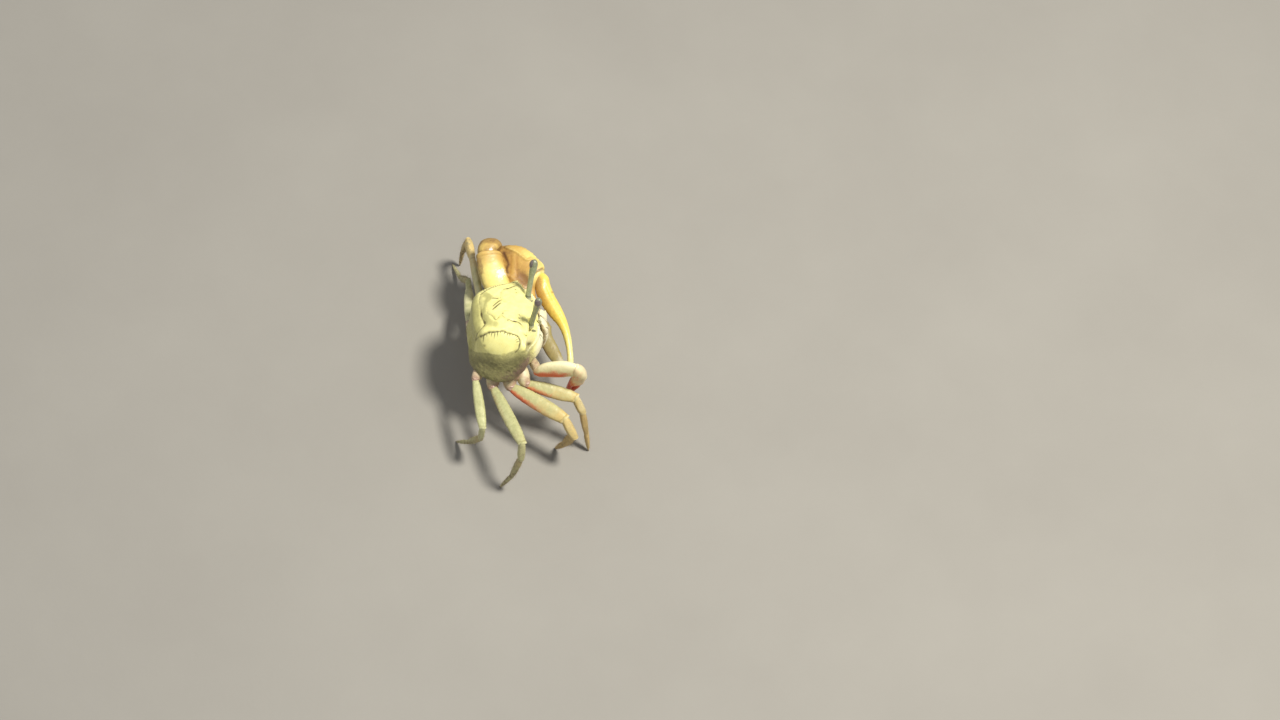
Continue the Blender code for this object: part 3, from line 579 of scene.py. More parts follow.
def shell_rings():
    """Rings of the whole shell in shell widths, back first, then the walls down to its lower edge."""
    outline = carapace_outline()
    centre = np.array(SHELL_CENTRE)
    shares = np.sin(0.5 * math.pi * np.linspace(0.0, 1.0, BACK_RINGS + 1)[1:])
    flat = centre + (outline - centre)[None] * shares[:, None, None]
    x, y = flat[..., 0], flat[..., 1]
    edge_x, edge_y = outline[:, 0], outline[:, 1]
    lift, mark = back_relief(x, y)
    fade = ramp(1.0, 0.96, shares)[:, None]
    rounding = EDGE_ROUND * ramp(-0.2, -0.06, edge_y) * (0.55 + 0.45 * ramp(0.12, 0.3, np.abs(edge_x)))
    inward = clip((shares - 0.86) / 0.14)[:, None]
    rolled = rounding * (1.0 - np.sqrt(1.0 - inward ** 2))
    front = ramp(-0.2, -0.29, y) * ramp(0.16, 0.1, np.abs(x))
    at_edge = ramp(-0.17, -0.2, edge_y)
    rim = 0.01 * ramp(0.93, 0.985, shares)[:, None] * ramp(1.0, 0.992, shares)[:, None] * at_edge
    z = dorsal_height(x, y) + lift * fade + rim - rolled
    z = z - 0.02 * front * ramp(0.93, 1.0, shares)[:, None]
    back = np.stack([x, y, z], -1)
    downs = np.linspace(0.0, 1.0, WALL_RINGS + 1)[1:]
    level, keep, wide, push, notch, sink = columns(WALLS, downs)
    face = clip((-edge_y - 0.1) / 0.1) * np.maximum(0.0, 1.0 - (np.abs(edge_x) / 0.52) ** 3)
    mouth = 0.25 + 0.75 * np.minimum(1.0, np.abs(edge_x) / 0.17) ** 3
    orbit = orbit_share(edge_x, edge_y)
    skirt = ramp(-0.25, -0.04, edge_y) * np.maximum(ramp(0.1, 0.2, np.abs(edge_x)), edge_y < 0.1)
    low = skirt * ramp(0.3, 1.0, downs)[:, None]
    foot = smooth_table(SKIRT_WIDTH, edge_y)[:, 0]
    wide = wide + (foot - WALLS[-1][3]) * ramp(0.4, 1.0, downs)[:, None]
    wy = centre[1] + (edge_y - centre[1]) * wide - push * face * mouth + notch * orbit
    level = level * (1.0 - rounding / 0.478) - rounding - SKIRT_DROP * low
    wz = dorsal_height(edge_x, edge_y) * keep + level - sink * orbit
    brow = dorsal_height(edge_x, edge_y) - rounding
    even = brow + (WALLS[-1][1] - SKIRT_DROP * skirt - brow) * downs[:, None]
    wz = even + (wz - even) * ramp(-0.04, -0.15, edge_y)
    wx = edge_x * wide
    wall = np.stack([np.broadcast_to(wx, wy.shape), wy, wz], -1)
    return back, wall, downs, mark * fade, orbit, outline


def near_line(points, path, steps=10):
    """Distance of every point from a line through space."""
    path = np.asarray(path, float)
    dense = [np.linspace(a, b, steps, endpoint=False) for a, b in zip(path, path[1:])] + [path[-1:]]
    apart = np.full(points.shape[:-1], 9.0)
    for stop in np.concatenate(dense):
        apart = np.minimum(apart, np.linalg.norm(points - stop, axis=-1))
    return apart


def build_carapace():
    back, wall, downs, mark, orbit, outline = shell_rings()
    spots = np.concatenate([back, wall])
    rings = place(spots)

    def whole(on_back, on_wall):
        """A field of the whole shell from its values on the back and on the walls."""
        return np.concatenate([np.broadcast_to(on_back, back.shape[:2]),
                               np.broadcast_to(on_wall, wall.shape[:2])])

    # teeth along the lower edge of the eye notch, and a rough pile lower down
    arc = np.cumsum(np.linalg.norm(np.roll(outline, -1, 0) - outline, axis=1))
    teeth = (0.5 + 0.5 * np.cos(arc * 2.0 * math.pi / 0.03)) ** 0.7
    at_rim = bell(downs - 0.345, 0.022)[:, None] * orbit
    low = ramp(0.02, 0.2, downs)[:, None] * (1.0 - orbit)
    pile = place(wall)
    pile = (0.06 * grain(pile, 0.6, 5) + 0.03 * grain(pile, 0.2, 6)
            + 0.04 * clip(grain(pile, 0.3, 9) - 0.1))
    rings = pushed(rings, whole(0.0, 0.2 * at_rim * teeth + pile * low))
    spread = grain(rings, 1.8, 7)
    rough = grain(rings, 0.45, 10)
    px, py, pz = np.moveaxis(spots, -1, 0)
    px = np.abs(px)
    down = whole(0.0, downs[:, None])
    not_face = ramp(-0.3, -0.2, py)
    # the bright swelling past the toothed ridge ends in a torn line; the side below it is olive, partly its
    # own colour and partly painted shade that deepens downward
    below = -pz - smooth_table(BRIGHT_END, py.ravel())[:, 0].reshape(py.shape)
    torn = below + 0.014 * spread + 0.01 * rough
    flank_olive_and_shade = (0.62 * ramp(0.0, 0.022, torn) + 0.34 * ramp(0.02, 0.13, torn)) * not_face
    flank_olive_and_shade = flank_olive_and_shade * (0.95 - 0.12 * rough * ramp(0.05, 0.2, below))
    # the back is duller toward its far side, at the rear and round the lobes beside the middle
    band = to_path(spots[..., :2], smooth_path(DULL_BAND, 20))[0] + 0.01 * spread + 0.006 * rough
    rear = ramp(0.235, 0.275, py) * ramp(0.3, 0.22, px)
    flank_olive_and_shade = most(flank_olive_and_shade, 0.16 * rear * ramp(-0.5, 0.5, spread))
    dull = most(0.55 * ramp(0.14, 0.3, py + 0.05 * spread) * ramp(0.42, 0.1, px),
                0.5 * ramp(0.16, 0.3, py + 0.04 * spread) * ramp(0.2, 0.3, px),
                0.45 * ramp(-0.07, 0.0, below + 0.03 * spread) * ramp(0.02, 0.16, py) * not_face,
                0.92 * ramp(0.046, 0.008, band + 0.006 * spread) * (down < 0.01), 0.95 * rear)
    # painted shade: plum on the face below the eye notch, where the cheek lies in shadow
    cheek_shade = ramp(0.18, 0.4, 0.03 * spread - pz) * ramp(0.17, 0.3, px)
    plum = most(ramp(0.35, 0.75, down + 0.15 * spread) * ramp(0.1, -0.16, py + 0.05 * spread) * not_face,
                0.45 * ramp(0.8, 1.0, down + 0.05 * spread), 0.62 * cheek_shade * (1.0 - not_face))
    pale = most(whole(0.0, at_rim * 0.35),
                ramp(0.26, 0.4, down) * ramp(-0.27, -0.34, py) * ramp(0.86, 0.62, down) * 0.9,
                0.3 * ramp(0.18, 0.26, down) * ramp(0.42, 0.34, down) * whole(0.0, orbit))
    # dark lines of the back, painted shade in the hollow of the eye notch, and a dark line along the lower
    # edge of the bright side
    groove = most(whole(mark, 0.7 * bell(downs - 0.13, 0.05)[:, None] * orbit),
                  0.45 * bell(torn - 0.004, 0.01) * not_face * ramp(0.1, -0.02, py) * ramp(-0.16, -0.12, py))
    for path in SIDE_LINES:
        groove = most(groove, 0.85 * bell(near_line(spots, path) + 0.002 * rough, 0.0075))
    # painted shade of the pocket at the outer corner of the eye notch, and a dark spot on the side
    for spot, size, strength in ((CORNER_POCKET_SHADE, 0.028, 0.92), (SIDE_SCAR, 0.016, 0.55)):
        apart = np.linalg.norm(spots - np.array(spot), axis=-1) + 0.003 * rough
        groove = most(groove, strength * bell(apart, size))
    piece("carapace_plate", rings, "shell", ["carapace"],
          {"dull": clip(dull), "flank_olive_and_shade": flank_olive_and_shade, "plum": plum * (1.0 - pale), "pale": pale, "groove": groove})


build_carapace()

# ---- limbs: how every jointed segment is made ----
# what a function's "hand" stands for
SIDES = {1: "left", -1: "right"}
# direction from the crab to the camera, which the big hand and the right legs turn their faces to
TO_CAMERA = np.array([-0.708, 0.129, 0.694])
UP = (0.0, 0.0, 1.0)
ROOT_CAP = [(-0.34, 0.14), (-0.33, 0.34), (-0.3, 0.54), (-0.24, 0.72), (-0.16, 0.86), (-0.07, 0.96)]
MOUTH_CAP = [(0.03, 0.995), (0.05, 0.96), (0.05, 0.915), (0.02, 0.87), (-0.08, 0.8),
             (-0.18, 0.62), (-0.22, 0.3)]
BLUNT_CAP = [(0.1, 0.9), (0.17, 0.74), (0.22, 0.52), (0.25, 0.26)]


def measured(points):
    """Points in metres in the row's frame, in shell widths in the body's frame."""
    return (np.asarray(points, float) - ORIGIN) @ AXES.T / SHELL_WIDTH


def meeting(first, second, reach=0.9 * MM):
    """Centre of the joint between two neighbouring nodes, in the body's frame."""
    a = vertices_of(first)
    b = vertices_of(second)
    apart = np.linalg.norm(a[:, None] - b[None], axis=2)
    near = 0.5 * (a[apart.min(1) < reach].mean(0) + b[apart.min(0) < reach].mean(0))
    return measured(near)


def segment(start, end, up, size, profile, before, after, rows, around=64, bow=0.0, bulge=0.0,
            mouth=MOUTH_CAP, cut=None):
    """Rings of one limb segment, with the share of the way along, the angle from its upper edge
    and whether it lies inside the mouth, of every point. The root is a dome held by the segment
    before. A cut is a plane, told by a point and its outward direction, that nothing passes."""
    start, end = np.asarray(start, float), np.asarray(end, float)
    axis = unit(end - start)
    rise = square_to(up, axis)
    side = np.cross(axis, rise)
    length = np.linalg.norm(end - start)
    facing_low = unit(unit(before) + axis) if before is not None else axis
    facing_high = unit(axis + unit(after)) if after is not None else axis
    shares = np.concatenate([np.zeros(len(ROOT_CAP)), np.linspace(0.0, 1.0, rows), np.ones(len(mouth))])
    slide, shrink = np.array(ROOT_CAP + [(0.0, 1.0)] * rows + mouth).T
    tall, wide = smooth_table(profile, shares).T
    slide = slide * size[0] * np.where(np.arange(len(shares)) < len(ROOT_CAP), tall[0], tall[-1])
    turn = circle(around) + math.pi / around
    swell = np.sin(math.pi * shares)[:, None]
    lift = 0.5 * size[0] * (tall * shrink)[:, None] * boxy(np.cos(turn), 0.86)
    lift = lift * (1.0 + bulge * swell * (np.cos(turn) > 0.0)) + bow * swell
    spread = 0.5 * size[1] * (wide * shrink)[:, None] * boxy(np.sin(turn), 0.86)
    lateral = rise * lift[..., None] + side * spread[..., None]
    lows = -(lateral @ facing_low) / (axis @ facing_low)
    highs = length - (lateral @ facing_high) / (axis @ facing_high)
    reach = lows + (highs - lows) * shares[:, None] + slide[:, None]
    rings = start + lateral + axis * reach[..., None]
    if cut:
        rings = rings - np.maximum((rings - cut[0]) @ cut[1], 0.0)[..., None] * cut[1]
    share, turn, inner = (np.broadcast_to(grid, lift.shape) for grid in
                          (shares[:, None], turn, ((slide < 0.0) & (shares > 0.5))[:, None]))
    return place(rings), share, turn, inner


def nearest(share, turn, at, degrees):
    """Row and column of the point nearest to a place along a segment and an angle round it."""
    return np.argmin(np.abs(share[:, 0] - at)), np.argmin(angle_from(turn[0], degrees))


def angle_from(turn, degrees):
    """How far round the segment a point lies from the given angle, in degrees."""
    return np.abs((np.degrees(turn) - degrees + 180.0) % 360.0 - 180.0)


def edge_band(turn, degrees, width):
    return bell(angle_from(turn, degrees), width)


def shell_relief(points, seed, coarse=0.035, fine=0.018):
    """Uneven surface of a plate, in millimetres, for points in metres."""
    wave = coarse * grain(points, 0.9, seed) + fine * grain(points, 0.34, seed + 1)
    beads = clip(grain(points, 0.2, seed + 2) - 0.25)
    return wave + 0.03 * beads


def hair(root, way, droop, length, thick, steps=4, sides=3):
    """One tapered bristle: closed rings in metres."""
    way = unit(way)
    across = unit(np.cross(way, droop + np.array([0.013, 0.021, 0.017])))
    over = np.cross(way, across)
    share = np.linspace(0.0, 1.0, steps)[:, None]
    middle = root + length * (way * share + droop * share ** 2)
    half = (0.5 * thick * (1.0 - 0.88 * share))[..., None]
    turn = circle(sides)[..., None]
    return middle[:, None] + half * (np.cos(turn) * across + np.sin(turn) * over)


def bristles(name, roots, ways, lengths, thick, seed, untidy=0.25):
    """One joined piece of many bristles, their lengths and thickness in millimetres, with a map
    that lays the points of each bristle round a spot set by where its root lies."""
    chance = np.random.default_rng(seed)
    roots = np.asarray(roots, float)
    tubes = []
    for root, way, length in zip(roots, ways, np.broadcast_to(lengths, len(roots))):
        leaning = unit(way) + untidy * chance.normal(size=3)
        droop = np.array([0.0, 0.0, -0.15]) + 0.12 * chance.normal(size=3)
        full = length * MM * (0.65 + 0.5 * chance.random())
        tubes.append(hair(root - 0.08 * MM * unit(way), leaning, droop, full, thick * MM))
    verts, faces, _ = solid(tubes)
    obj = make_object(name, verts, faces, FINISH["bristle"])
    low = roots.min(0)
    extent = roots.max(0) - low
    widest = np.argsort(-extent)[:2]
    spots = 0.02 + 0.95 * (roots[:, widest] - low[widest]) / max(extent.max(), MM)
    bend = 2.1 * np.arange(len(verts) // len(tubes))
    offsets = 0.0015 * np.stack([np.cos(bend), np.sin(bend)], 1)
    place_of = (spots[:, None] + offsets).reshape(-1, 2)
    layer = obj.data.uv_layers.new(name="OFBake")
    corners = np.empty(len(obj.data.loops), np.int32)
    obj.data.loops.foreach_get("vertex_index", corners)
    layer.data.foreach_set("uv", place_of[corners].astype(np.float32).ravel())
    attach(obj, "root")


def skin_bulbs(name, centres, sizes, seed):
    """Soft folded skin that shows inside the joints of one limb."""
    up = np.linspace(-1.0, 1.0, 26)[:, None] * 0.5 * math.pi * 0.96
    turn = circle(32)
    ball = np.stack([np.cos(up) * np.cos(turn), np.cos(up) * np.sin(turn),
                     np.sin(up) * np.ones_like(turn)], -1)
    tubes = []
    for number, (centre, size) in enumerate(zip(centres, sizes)):
        rings = place(centre) + SHELL_WIDTH * size * ball
        fold = 0.05 * np.sin(up * 9.0) + 0.06 * grain(rings, 0.5, seed + number)
        tubes.append(pushed(rings, fold))
    piece(name, tubes, "skin")


# ---- walking legs ----
LEG_HEIGHTS = {2: 0.138, 3: 0.154, 4: 0.122, 5: 0.1}
COXA_SIZES = {2: (0.15, 0.14), 3: (0.16, 0.15), 4: (0.155, 0.145), 5: (0.118, 0.11)}
LEG_PARTS = ("coxa", "merus", "carpus", "propodus", "dactyl")
LEG_FINISHES = ("under", "leg", "leg", "foot", "foot")
# how far a foot's rounded tip stays short of the CAD tip
FOOT_SET_BACK = 0.004
# height and width of each segment as shares of the merus height
LEG_SHARES = {"coxa": (1.0, 1.0), "merus": (1.02, 0.62), "carpus": (0.82, 0.62),
              "propodus": (0.7, 0.5), "dactyl": (0.42, 0.36)}
# outline of each segment: share of the way along it, height share, width share
LEG_PROFILES = {
    "coxa": [(0.0, 0.85, 0.85), (0.3, 1.0, 1.0), (0.6, 1.0, 1.0), (0.85, 0.86, 0.88),
             (1.0, 0.64, 0.7)],
    "merus": [(0.0, 0.54, 0.74), (0.04, 0.62, 0.8), (0.12, 0.76, 0.9), (0.32, 0.94, 1.0),
              (0.6, 1.0, 1.0), (0.82, 0.92, 0.97), (0.92, 0.81, 0.91), (0.97, 0.74, 0.86),
              (1.0, 0.72, 0.85)],
    "carpus": [(0.0, 0.76, 0.84), (0.12, 0.88, 0.92), (0.36, 1.0, 1.0), (0.72, 1.0, 1.0),
               (0.92, 0.86, 0.92), (1.0, 0.79, 0.86)],
    "propodus": [(0.0, 0.8, 0.86), (0.1, 0.93, 0.95), (0.3, 1.0, 1.0), (0.65, 0.92, 0.94),
                 (0.92, 0.66, 0.76), (1.0, 0.62, 0.73)],
    "dactyl": [(0.0, 0.84, 0.88), (0.1, 0.98, 0.98), (0.3, 0.98, 0.94), (0.6, 0.72, 0.72),
               (0.84, 0.44, 0.44), (0.95, 0.24, 0.24), (1.0, 0.13, 0.13)]}
# colour of each leg: orange share, coral share, olive spots, mud on the feet, green on the feet,
# cream on the knee, cream on the merus
LEG_TONES = {"right_2": (0.9, 0.8, 0.2, 0.05, 0.0, 0.35, 0.0),
             "right_3": (1.0, 0.95, 0.3, 0.2, 0.0, 0.1, 0.0),
             "right_4": (0.12, 0.1, 0.5, 0.5, 0.7, 0.1, 0.0),
             "right_5": (0.0, 0.0, 0.3, 0.3, 0.8, 0.2, 0.0),
             "left_2": (0.3, 0.2, 0.4, 0.5, 0.3, 0.1, 0.0),
             "left_3": (0.35, 0.25, 0.4, 0.5, 0.3, 0.1, 0.0),
             "left_4": (1.0, 0.45, 0.25, 0.6, 0.2, 0.1, 0.3),
             "left_5": (0.0, 0.0, 0.25, 0.35, 0.8, 0.1, 0.4)}
# rows of bristles on each segment: angle from its upper edge, how many, length in millimetres
LEG_HAIRS = {"merus": ((0.0, 26, 0.45), (180.0, 10, 0.35)),
             "carpus": ((-38.0, 14, 0.55), (38.0, 14, 0.55)),
             "propodus": ((-38.0, 26, 0.75), (38.0, 26, 0.75), (142.0, 22, 0.8), (-142.0, 22, 0.8)),
             "dactyl": ((0.0, 20, 0.55), (90.0, 20, 0.5), (180.0, 20, 0.5), (270.0, 20, 0.5))}


def leg_joints(tag):
    """Root, hip, knee, ankle, foot joint and tip of a leg, in the body's frame."""
    joints = [meeting(tag + a, tag + b) for a, b in zip(LEG_PARTS, LEG_PARTS[1:])]
    coxa = vertices_of(tag + "coxa")
    far = np.linalg.norm(coxa - place(joints[0]), axis=1)
    root = measured(coxa[np.argsort(far)[-10:]].mean(0))
    foot = vertices_of(tag + "dactyl")
    tip = measured(foot[foot[:, 2] < 0.01 * MM].mean(0))
    return [root] + joints + [tip]


def leg_paint(part, rings, share, turn, tones, seed):
    """How much of each colour lies on every point of a leg segment."""
    if part == "coxa":
        patch = ramp(-0.4, 0.5, grain(rings, 1.2, seed))
        return {"pink": 0.38 + 0.34 * patch + 0.3 * ramp(0.8, 1.0, share),
                "pale": 0.3 * (1.0 - patch) * ramp(0.9, 0.7, share)}
    orange, coral, spots, mud, green, knee, cream = tones
    wave = grain(rings, 1.4, seed)
    small = grain(rings, 0.45, seed + 3)
    # how far out on the leg each point lies, in segments
    stretch = {"merus": 0.0, "carpus": 0.9, "propodus": 1.4, "dactyl": 2.0}[part] + share
    # how pale the segment's rim is, how dark the crease behind it, and how much cream lies in patches on the
    # rest
    marks = {"merus": (0.28, 0.4, cream), "carpus": (0.28, 0.4, knee)}
    rim, crease, cream_patches = marks.get(part, (0.12, 0.2, 0.0))
    warm = orange * (0.25 + 0.75 * ramp(0.35, 0.85, stretch + 0.2 * wave))
    warm *= 0.3 + 0.7 * most(edge_band(turn, 180.0, 85.0), ramp(0.75, 1.0, stretch + 0.1 * wave))
    warm = most(warm, 0.6 * orange * ramp(2.2, 1.2, stretch) * ramp(0.8, 1.0, stretch))
    red = ramp(0.8, 0.25, stretch + 0.15 * wave) * ramp(92.0, 132.0, angle_from(turn, 0.0) + 14.0 * wave)
    dirt = most(ramp(0.9, 2.2, stretch + 0.5 * wave) * ramp(-0.35, 0.45, small + 0.3 * wave),
                0.7 * ramp(2.75, 3.0, stretch))
    olive = most(ramp(-0.1, 0.5, small * 0.7 + wave * 0.5) * np.maximum(edge_band(turn, 0.0, 60.0), 0.6),
                 0.8 * edge_band(turn, 178.0, 26.0))
    paint = {"orange": clip(warm), "coral": clip(coral * red),
             "green": clip(green * ramp(1.2, 2.0, stretch)), "mud": clip(mud * dirt + 0.4 * spots * olive),
             "pale": most(rim * ramp(0.975, 0.99, share), cream_patches * ramp(-0.8, 0.3, wave)),
             "groove": clip(crease * bell(share - 0.958, 0.008))}
    if part == "dactyl":
        tip = ramp(0.86, 0.97, share)
        paint.update(mud=most(paint["mud"], tip), groove=0.6 * tip,
                     pale=0.25 * ramp(0.8, 0.86, share) * (1.0 - tip))
    return paint


def leg_surface(part, rings, share, turn, inner, seed):
    """Raised and sunken parts of a leg segment, in millimetres."""
    amount = shell_relief(rings, seed)
    uneven = grain(rings, 0.8, seed + 5)
    if part == "merus":
        folds = clip(np.sin(share * 150.0 + 5.0 * uneven + 0.02 * np.degrees(turn)))
        amount += 0.02 * folds * edge_band(turn, 0.0, 55.0) * ramp(0.05, 0.2, share)
        comb = clip(np.sin(share * 95.0 + uneven))
        amount += 0.05 * comb * (edge_band(turn, 165.0, 9.0) + edge_band(turn, 195.0, 9.0))
        amount += 0.06 * edge_band(turn, 0.0, 14.0) * (0.5 + 0.5 * comb) * ramp(0.0, 0.2, share)
    if part in ("carpus", "propodus"):
        for keel in (-38.0, 38.0, 142.0, -142.0):
            amount += 0.06 * edge_band(turn, keel, 13.0) * np.sin(math.pi * np.clip(share, 0.05, 0.92))
        amount -= 0.045 * edge_band(turn, 0.0, 20.0) * np.sin(math.pi * share)
    if part == "dactyl":
        for keel in (0.0, 90.0, 180.0, 270.0):
            amount += 0.035 * edge_band(turn, keel, 20.0) * ramp(1.0, 0.8, share)
    if part not in ("coxa", "dactyl"):
        amount += 0.012 * bell(share - 0.985, 0.016) - 0.04 * bell(share - 0.945, 0.014)
    return amount * (1.0 - inner)


def build_leg(hand, pair):
    name = "%s_%d" % (SIDES[hand], pair)
    points = leg_joints("leg_%s_" % name)
    runs = [b - a for a, b in zip(points, points[1:])]
    height = LEG_HEIGHTS[pair]
    edge = UP
    if hand < 0 or pair == 5:
        edge = np.cross(TO_CAMERA, runs[1])
        edge = unit(edge) * (1.0 if edge[2] > 0.0 else -1.0)
    ups = (UP, edge, (hand, 0.0, 0.8), (hand, 0.0, 0.35), (hand, 0.0, 0.35))
    rows = (60, 190 if hand < 0 else 120, 80, 90, 90)
    hairs = []
    for number, part in enumerate(LEG_PARTS):
        tall, wide = LEG_SHARES[part]
        before = runs[number - 1] if number else None
        after = runs[number + 1] if number < 4 else None
        seed = 100 + 40 * pair + 7 * number + (400 if hand > 0 else 0)
        end = points[number + 1] - (unit(runs[4]) * FOOT_SET_BACK if part == "dactyl" else 0.0)
        size = (height * tall, height * wide) if number else COXA_SIZES[pair]
        mouth = MOUTH_CAP if number < 4 else BLUNT_CAP[2:]
        rings, share, turn, inner = segment(points[number], end, ups[number], size, LEG_PROFILES[part],
                                            before, after, rows[number], mouth=mouth)
        amount = leg_surface(part, rings, share, turn, inner, seed)
        paint = leg_paint(part, rings, share, turn, LEG_TONES[name], seed)
        rings = pushed(rings, amount)
        rings[..., 2] = np.maximum(rings[..., 2], 0.0)
        node = "leg_%s_%s" % (name, part)
        piece(node + "_shell", rings, LEG_FINISHES[number], [node], paint)
        hairs += leg_hairs(part, rings, share, turn, seed)
    sizes = [0.31 * COXA_SIZES[pair][0], 0.24 * height, 0.21 * height, 0.15 * height]
    skin_bulbs("joint_skin_leg_" + name, points[1:5], sizes, 900 + pair)
    roots, ways, lengths = (np.array(column) for column in zip(*hairs))
    bristles("bristles_leg_" + name, roots, ways, lengths, 0.04, 50 + pair + (10 if hand > 0 else 0))


def leg_hairs(part, rings, share, turn, seed):
    """Where bristles stand on a leg segment: along its edges, more of them toward the foot."""
    chance = np.random.default_rng(seed)
    normals = grid_normals(rings)
    down = unit(rings[-1].mean(0) - rings[0].mean(0))
    made = []
    for degrees, count, length in LEG_HAIRS.get(part, ()):
        for k in range(count):
            spot = nearest(share, turn, 0.1 + 0.82 * (k + chance.random()) / count,
                           degrees + chance.normal() * 9.0)
            made.append((rings[spot], normals[spot] + 0.75 * down, length * (0.7 + 0.5 * chance.random())))
    return made


for side_sign in (1, -1):
    for leg_pair in (2, 3, 4, 5):
        build_leg(side_sign, leg_pair)

# ---- the big claw ----
BIG_ROOT = (0.275, -0.24, -0.505)
BIG_SHOULDER = np.array([0.45, -0.2, -0.53])
BIG_ELBOW = np.array([0.918, 0.075, -0.18])
BIG_CARPUS_END = np.array([1.125, 0.03, -0.205])
BIG_HEEL_CUT = np.array([1.08, -0.058, -0.24])
BIG_WRIST = np.array([1.025, -0.081, -0.3])
BIG_TIP = np.array([-0.123, -0.74, -0.791])
FLANK_POINT = np.array([0.54, 0.0, -0.2])
FLANK_FACING = np.array([-0.9, 0.0, 0.436])
BIG_COXA_SIZE = (0.112, 0.105)
BIG_MERUS_SIZE = (0.27, 0.186)
BIG_CARPUS_SIZE = (0.25, 0.25)
BIG_MERUS_PROFILE = [(0.0, 0.38, 0.5), (0.14, 0.6, 0.68), (0.36, 0.9, 0.92), (0.66, 1.0, 1.0),
                     (0.88, 0.98, 0.98), (0.96, 0.95, 0.95), (1.0, 0.94, 0.94)]
BIG_CARPUS_PROFILE = [(0.0, 0.62, 0.7), (0.12, 0.79, 0.85), (0.3, 0.96, 0.98), (0.55, 1.0, 1.0),
                      (0.78, 0.88, 0.88), (0.94, 0.62, 0.62), (1.0, 0.4, 0.4)]
# palm and fixed finger: along, lower edge, upper edge, inner half, outer half
PALM_STATIONS = [(-0.1, -0.035, 0.075, 0.03, 0.05), (-0.065, -0.065, 0.135, 0.048, 0.085),
                 (0.005, -0.098, 0.218, 0.058, 0.115), (0.095, -0.122, 0.268, 0.066, 0.14),
                 (0.2, -0.14, 0.297, 0.072, 0.15), (0.335, -0.15, 0.305, 0.076, 0.145),
                 (0.382, -0.152, 0.262, 0.076, 0.132), (0.43, -0.15, 0.16, 0.074, 0.116),
                 (0.52, -0.14, 0.09, 0.066, 0.096), (0.6, -0.126, 0.07, 0.06, 0.082),
                 (0.68, -0.112, 0.054, 0.054, 0.07), (0.86, -0.108, 0.046, 0.048, 0.058),
                 (1.0, -0.13, 0.012, 0.044, 0.05), (1.14, -0.138, 0.002, 0.038, 0.042),
                 (1.25, -0.12, -0.016, 0.032, 0.034), (1.33, -0.095, -0.034, 0.024, 0.024),
                 (1.39, -0.07, -0.046, 0.008, 0.008)]
# moving finger: along, lower edge, upper edge, half thickness
FINGER_STATIONS = [(0.3, 0.18, 0.215, 0.012), (0.325, 0.15, 0.245, 0.038),
                   (0.37, 0.14, 0.276, 0.054), (0.432, 0.132, 0.293, 0.062),
                   (0.5, 0.104, 0.272, 0.064), (0.62, 0.086, 0.251, 0.061),
                   (0.78, 0.094, 0.242, 0.056), (0.94, 0.116, 0.219, 0.05),
                   (1.1, 0.092, 0.17, 0.044), (1.23, 0.046, 0.113, 0.037),
                   (1.34, -0.008, 0.056, 0.028), (1.415, -0.026, 0.0, 0.01)]
FINGER_SET_BACK = 0.01
# how far the carpus reaches past the gap at the hand's heel, and how far the palm stays behind it
CARPUS_SLACK = 0.004
PALM_SLACK = 0.01
# places on the palm's inner face: along, up
PALM_RIDGE = [(-0.06, 0.085), (0.04, 0.15), (0.12, 0.18), (0.175, 0.2), (0.185, 0.25)]
PALM_LOWER_RIDGE = [(0.395, 0.03), (0.3, -0.005), (0.2, -0.055), (0.11, -0.085)]
PALM_STRIPES = [((0.05, 0.085), (0.245, -0.05)), ((0.1, 0.125), (0.3, 0.005))]
PALM_HOLLOW = (0.345, 0.07)
# places in the body's frame: the painted highlight of the wet patch, the painted highlight on the elbow, the
# slit beside the arm, whose shadow is painted on the palm
HIGHLIGHT_PATCH = (0.722, -0.04, -0.23)
ELBOW_HIGHLIGHT = (0.907, 0.065, -0.079)
ARM_SLIT = [(1.027, -0.092, -0.238), (0.986, -0.105, -0.255), (0.941, -0.122, -0.269),
            (0.905, -0.13, -0.283), (0.87, -0.112, -0.306), (0.83, -0.12, -0.33)]


def claw_frame():
    """Directions of the big hand: along it, up across it and out of its inner face."""
    along = unit(BIG_TIP - BIG_WRIST)
    facing = square_to(TO_CAMERA, along)
    return along, np.cross(facing, along), facing


def heel_direction():
    """Which way the gap between the elbow and the hand's heel faces."""
    along, upper, _ = claw_frame()
    return unit(0.55 * unit(along - upper * 0.1) + np.array([0.0, -0.45, 0.0]))


def claw_coxa(name, root, hip, size, end_size, arm, seed, mud):
    """The short segment that carries a claw."""
    rings = segment(root, hip, UP, size, [(0.0, 0.9, 0.9), (0.4, 1.0, 1.0), (1.0, end_size, end_size)],
                    None, arm, 50)[0]
    patch = ramp(-0.4, 0.5, grain(rings, 1.2, seed))
    piece(name + "_coxa_shell", pushed(rings, shell_relief(rings, seed + 1)), "under", [name + "_coxa"],
          {"pink": 0.4 + 0.5 * patch, "mud": mud * (1.0 - patch)})


def ragged(value, rings, size, seed, amount=0.35):
    """The same field with a broken edge."""
    return ramp(0.3, 0.62, value + amount * grain(rings, size, seed))


def from_spot(rings, spot):
    """How far every point lies from a place in the body's frame, in shell widths."""
    return np.linalg.norm(measured(rings) - np.array(spot), axis=-1)


def blade(stations, count, around, power=1.0):
    """Grids of a finger told by stations: places along it, up across it and outward, the sine of
    the angle round it, the angle, and its lower and upper edge."""
    s = np.linspace(stations[0][0], stations[-1][0], count)
    low, high, *halves = columns(stations, s)
    turn = circle(around)
    side = np.sin(turn)
    t = 0.5 * (low + high) + 0.5 * (high - low) * np.cos(turn)
    n = boxy(side, power) * np.where(side > 0.0, halves[0], halves[-1])
    return np.broadcast_to(s[:, None], t.shape), t, n, side, turn, low, high


def spread_out(origin, axes, s, t, n):
    """Points of a finger in the body's frame from its grids and its three directions."""
    along, upper, outward = axes
    return origin + upper * t[..., None] + outward * n[..., None] + along * s[..., None]


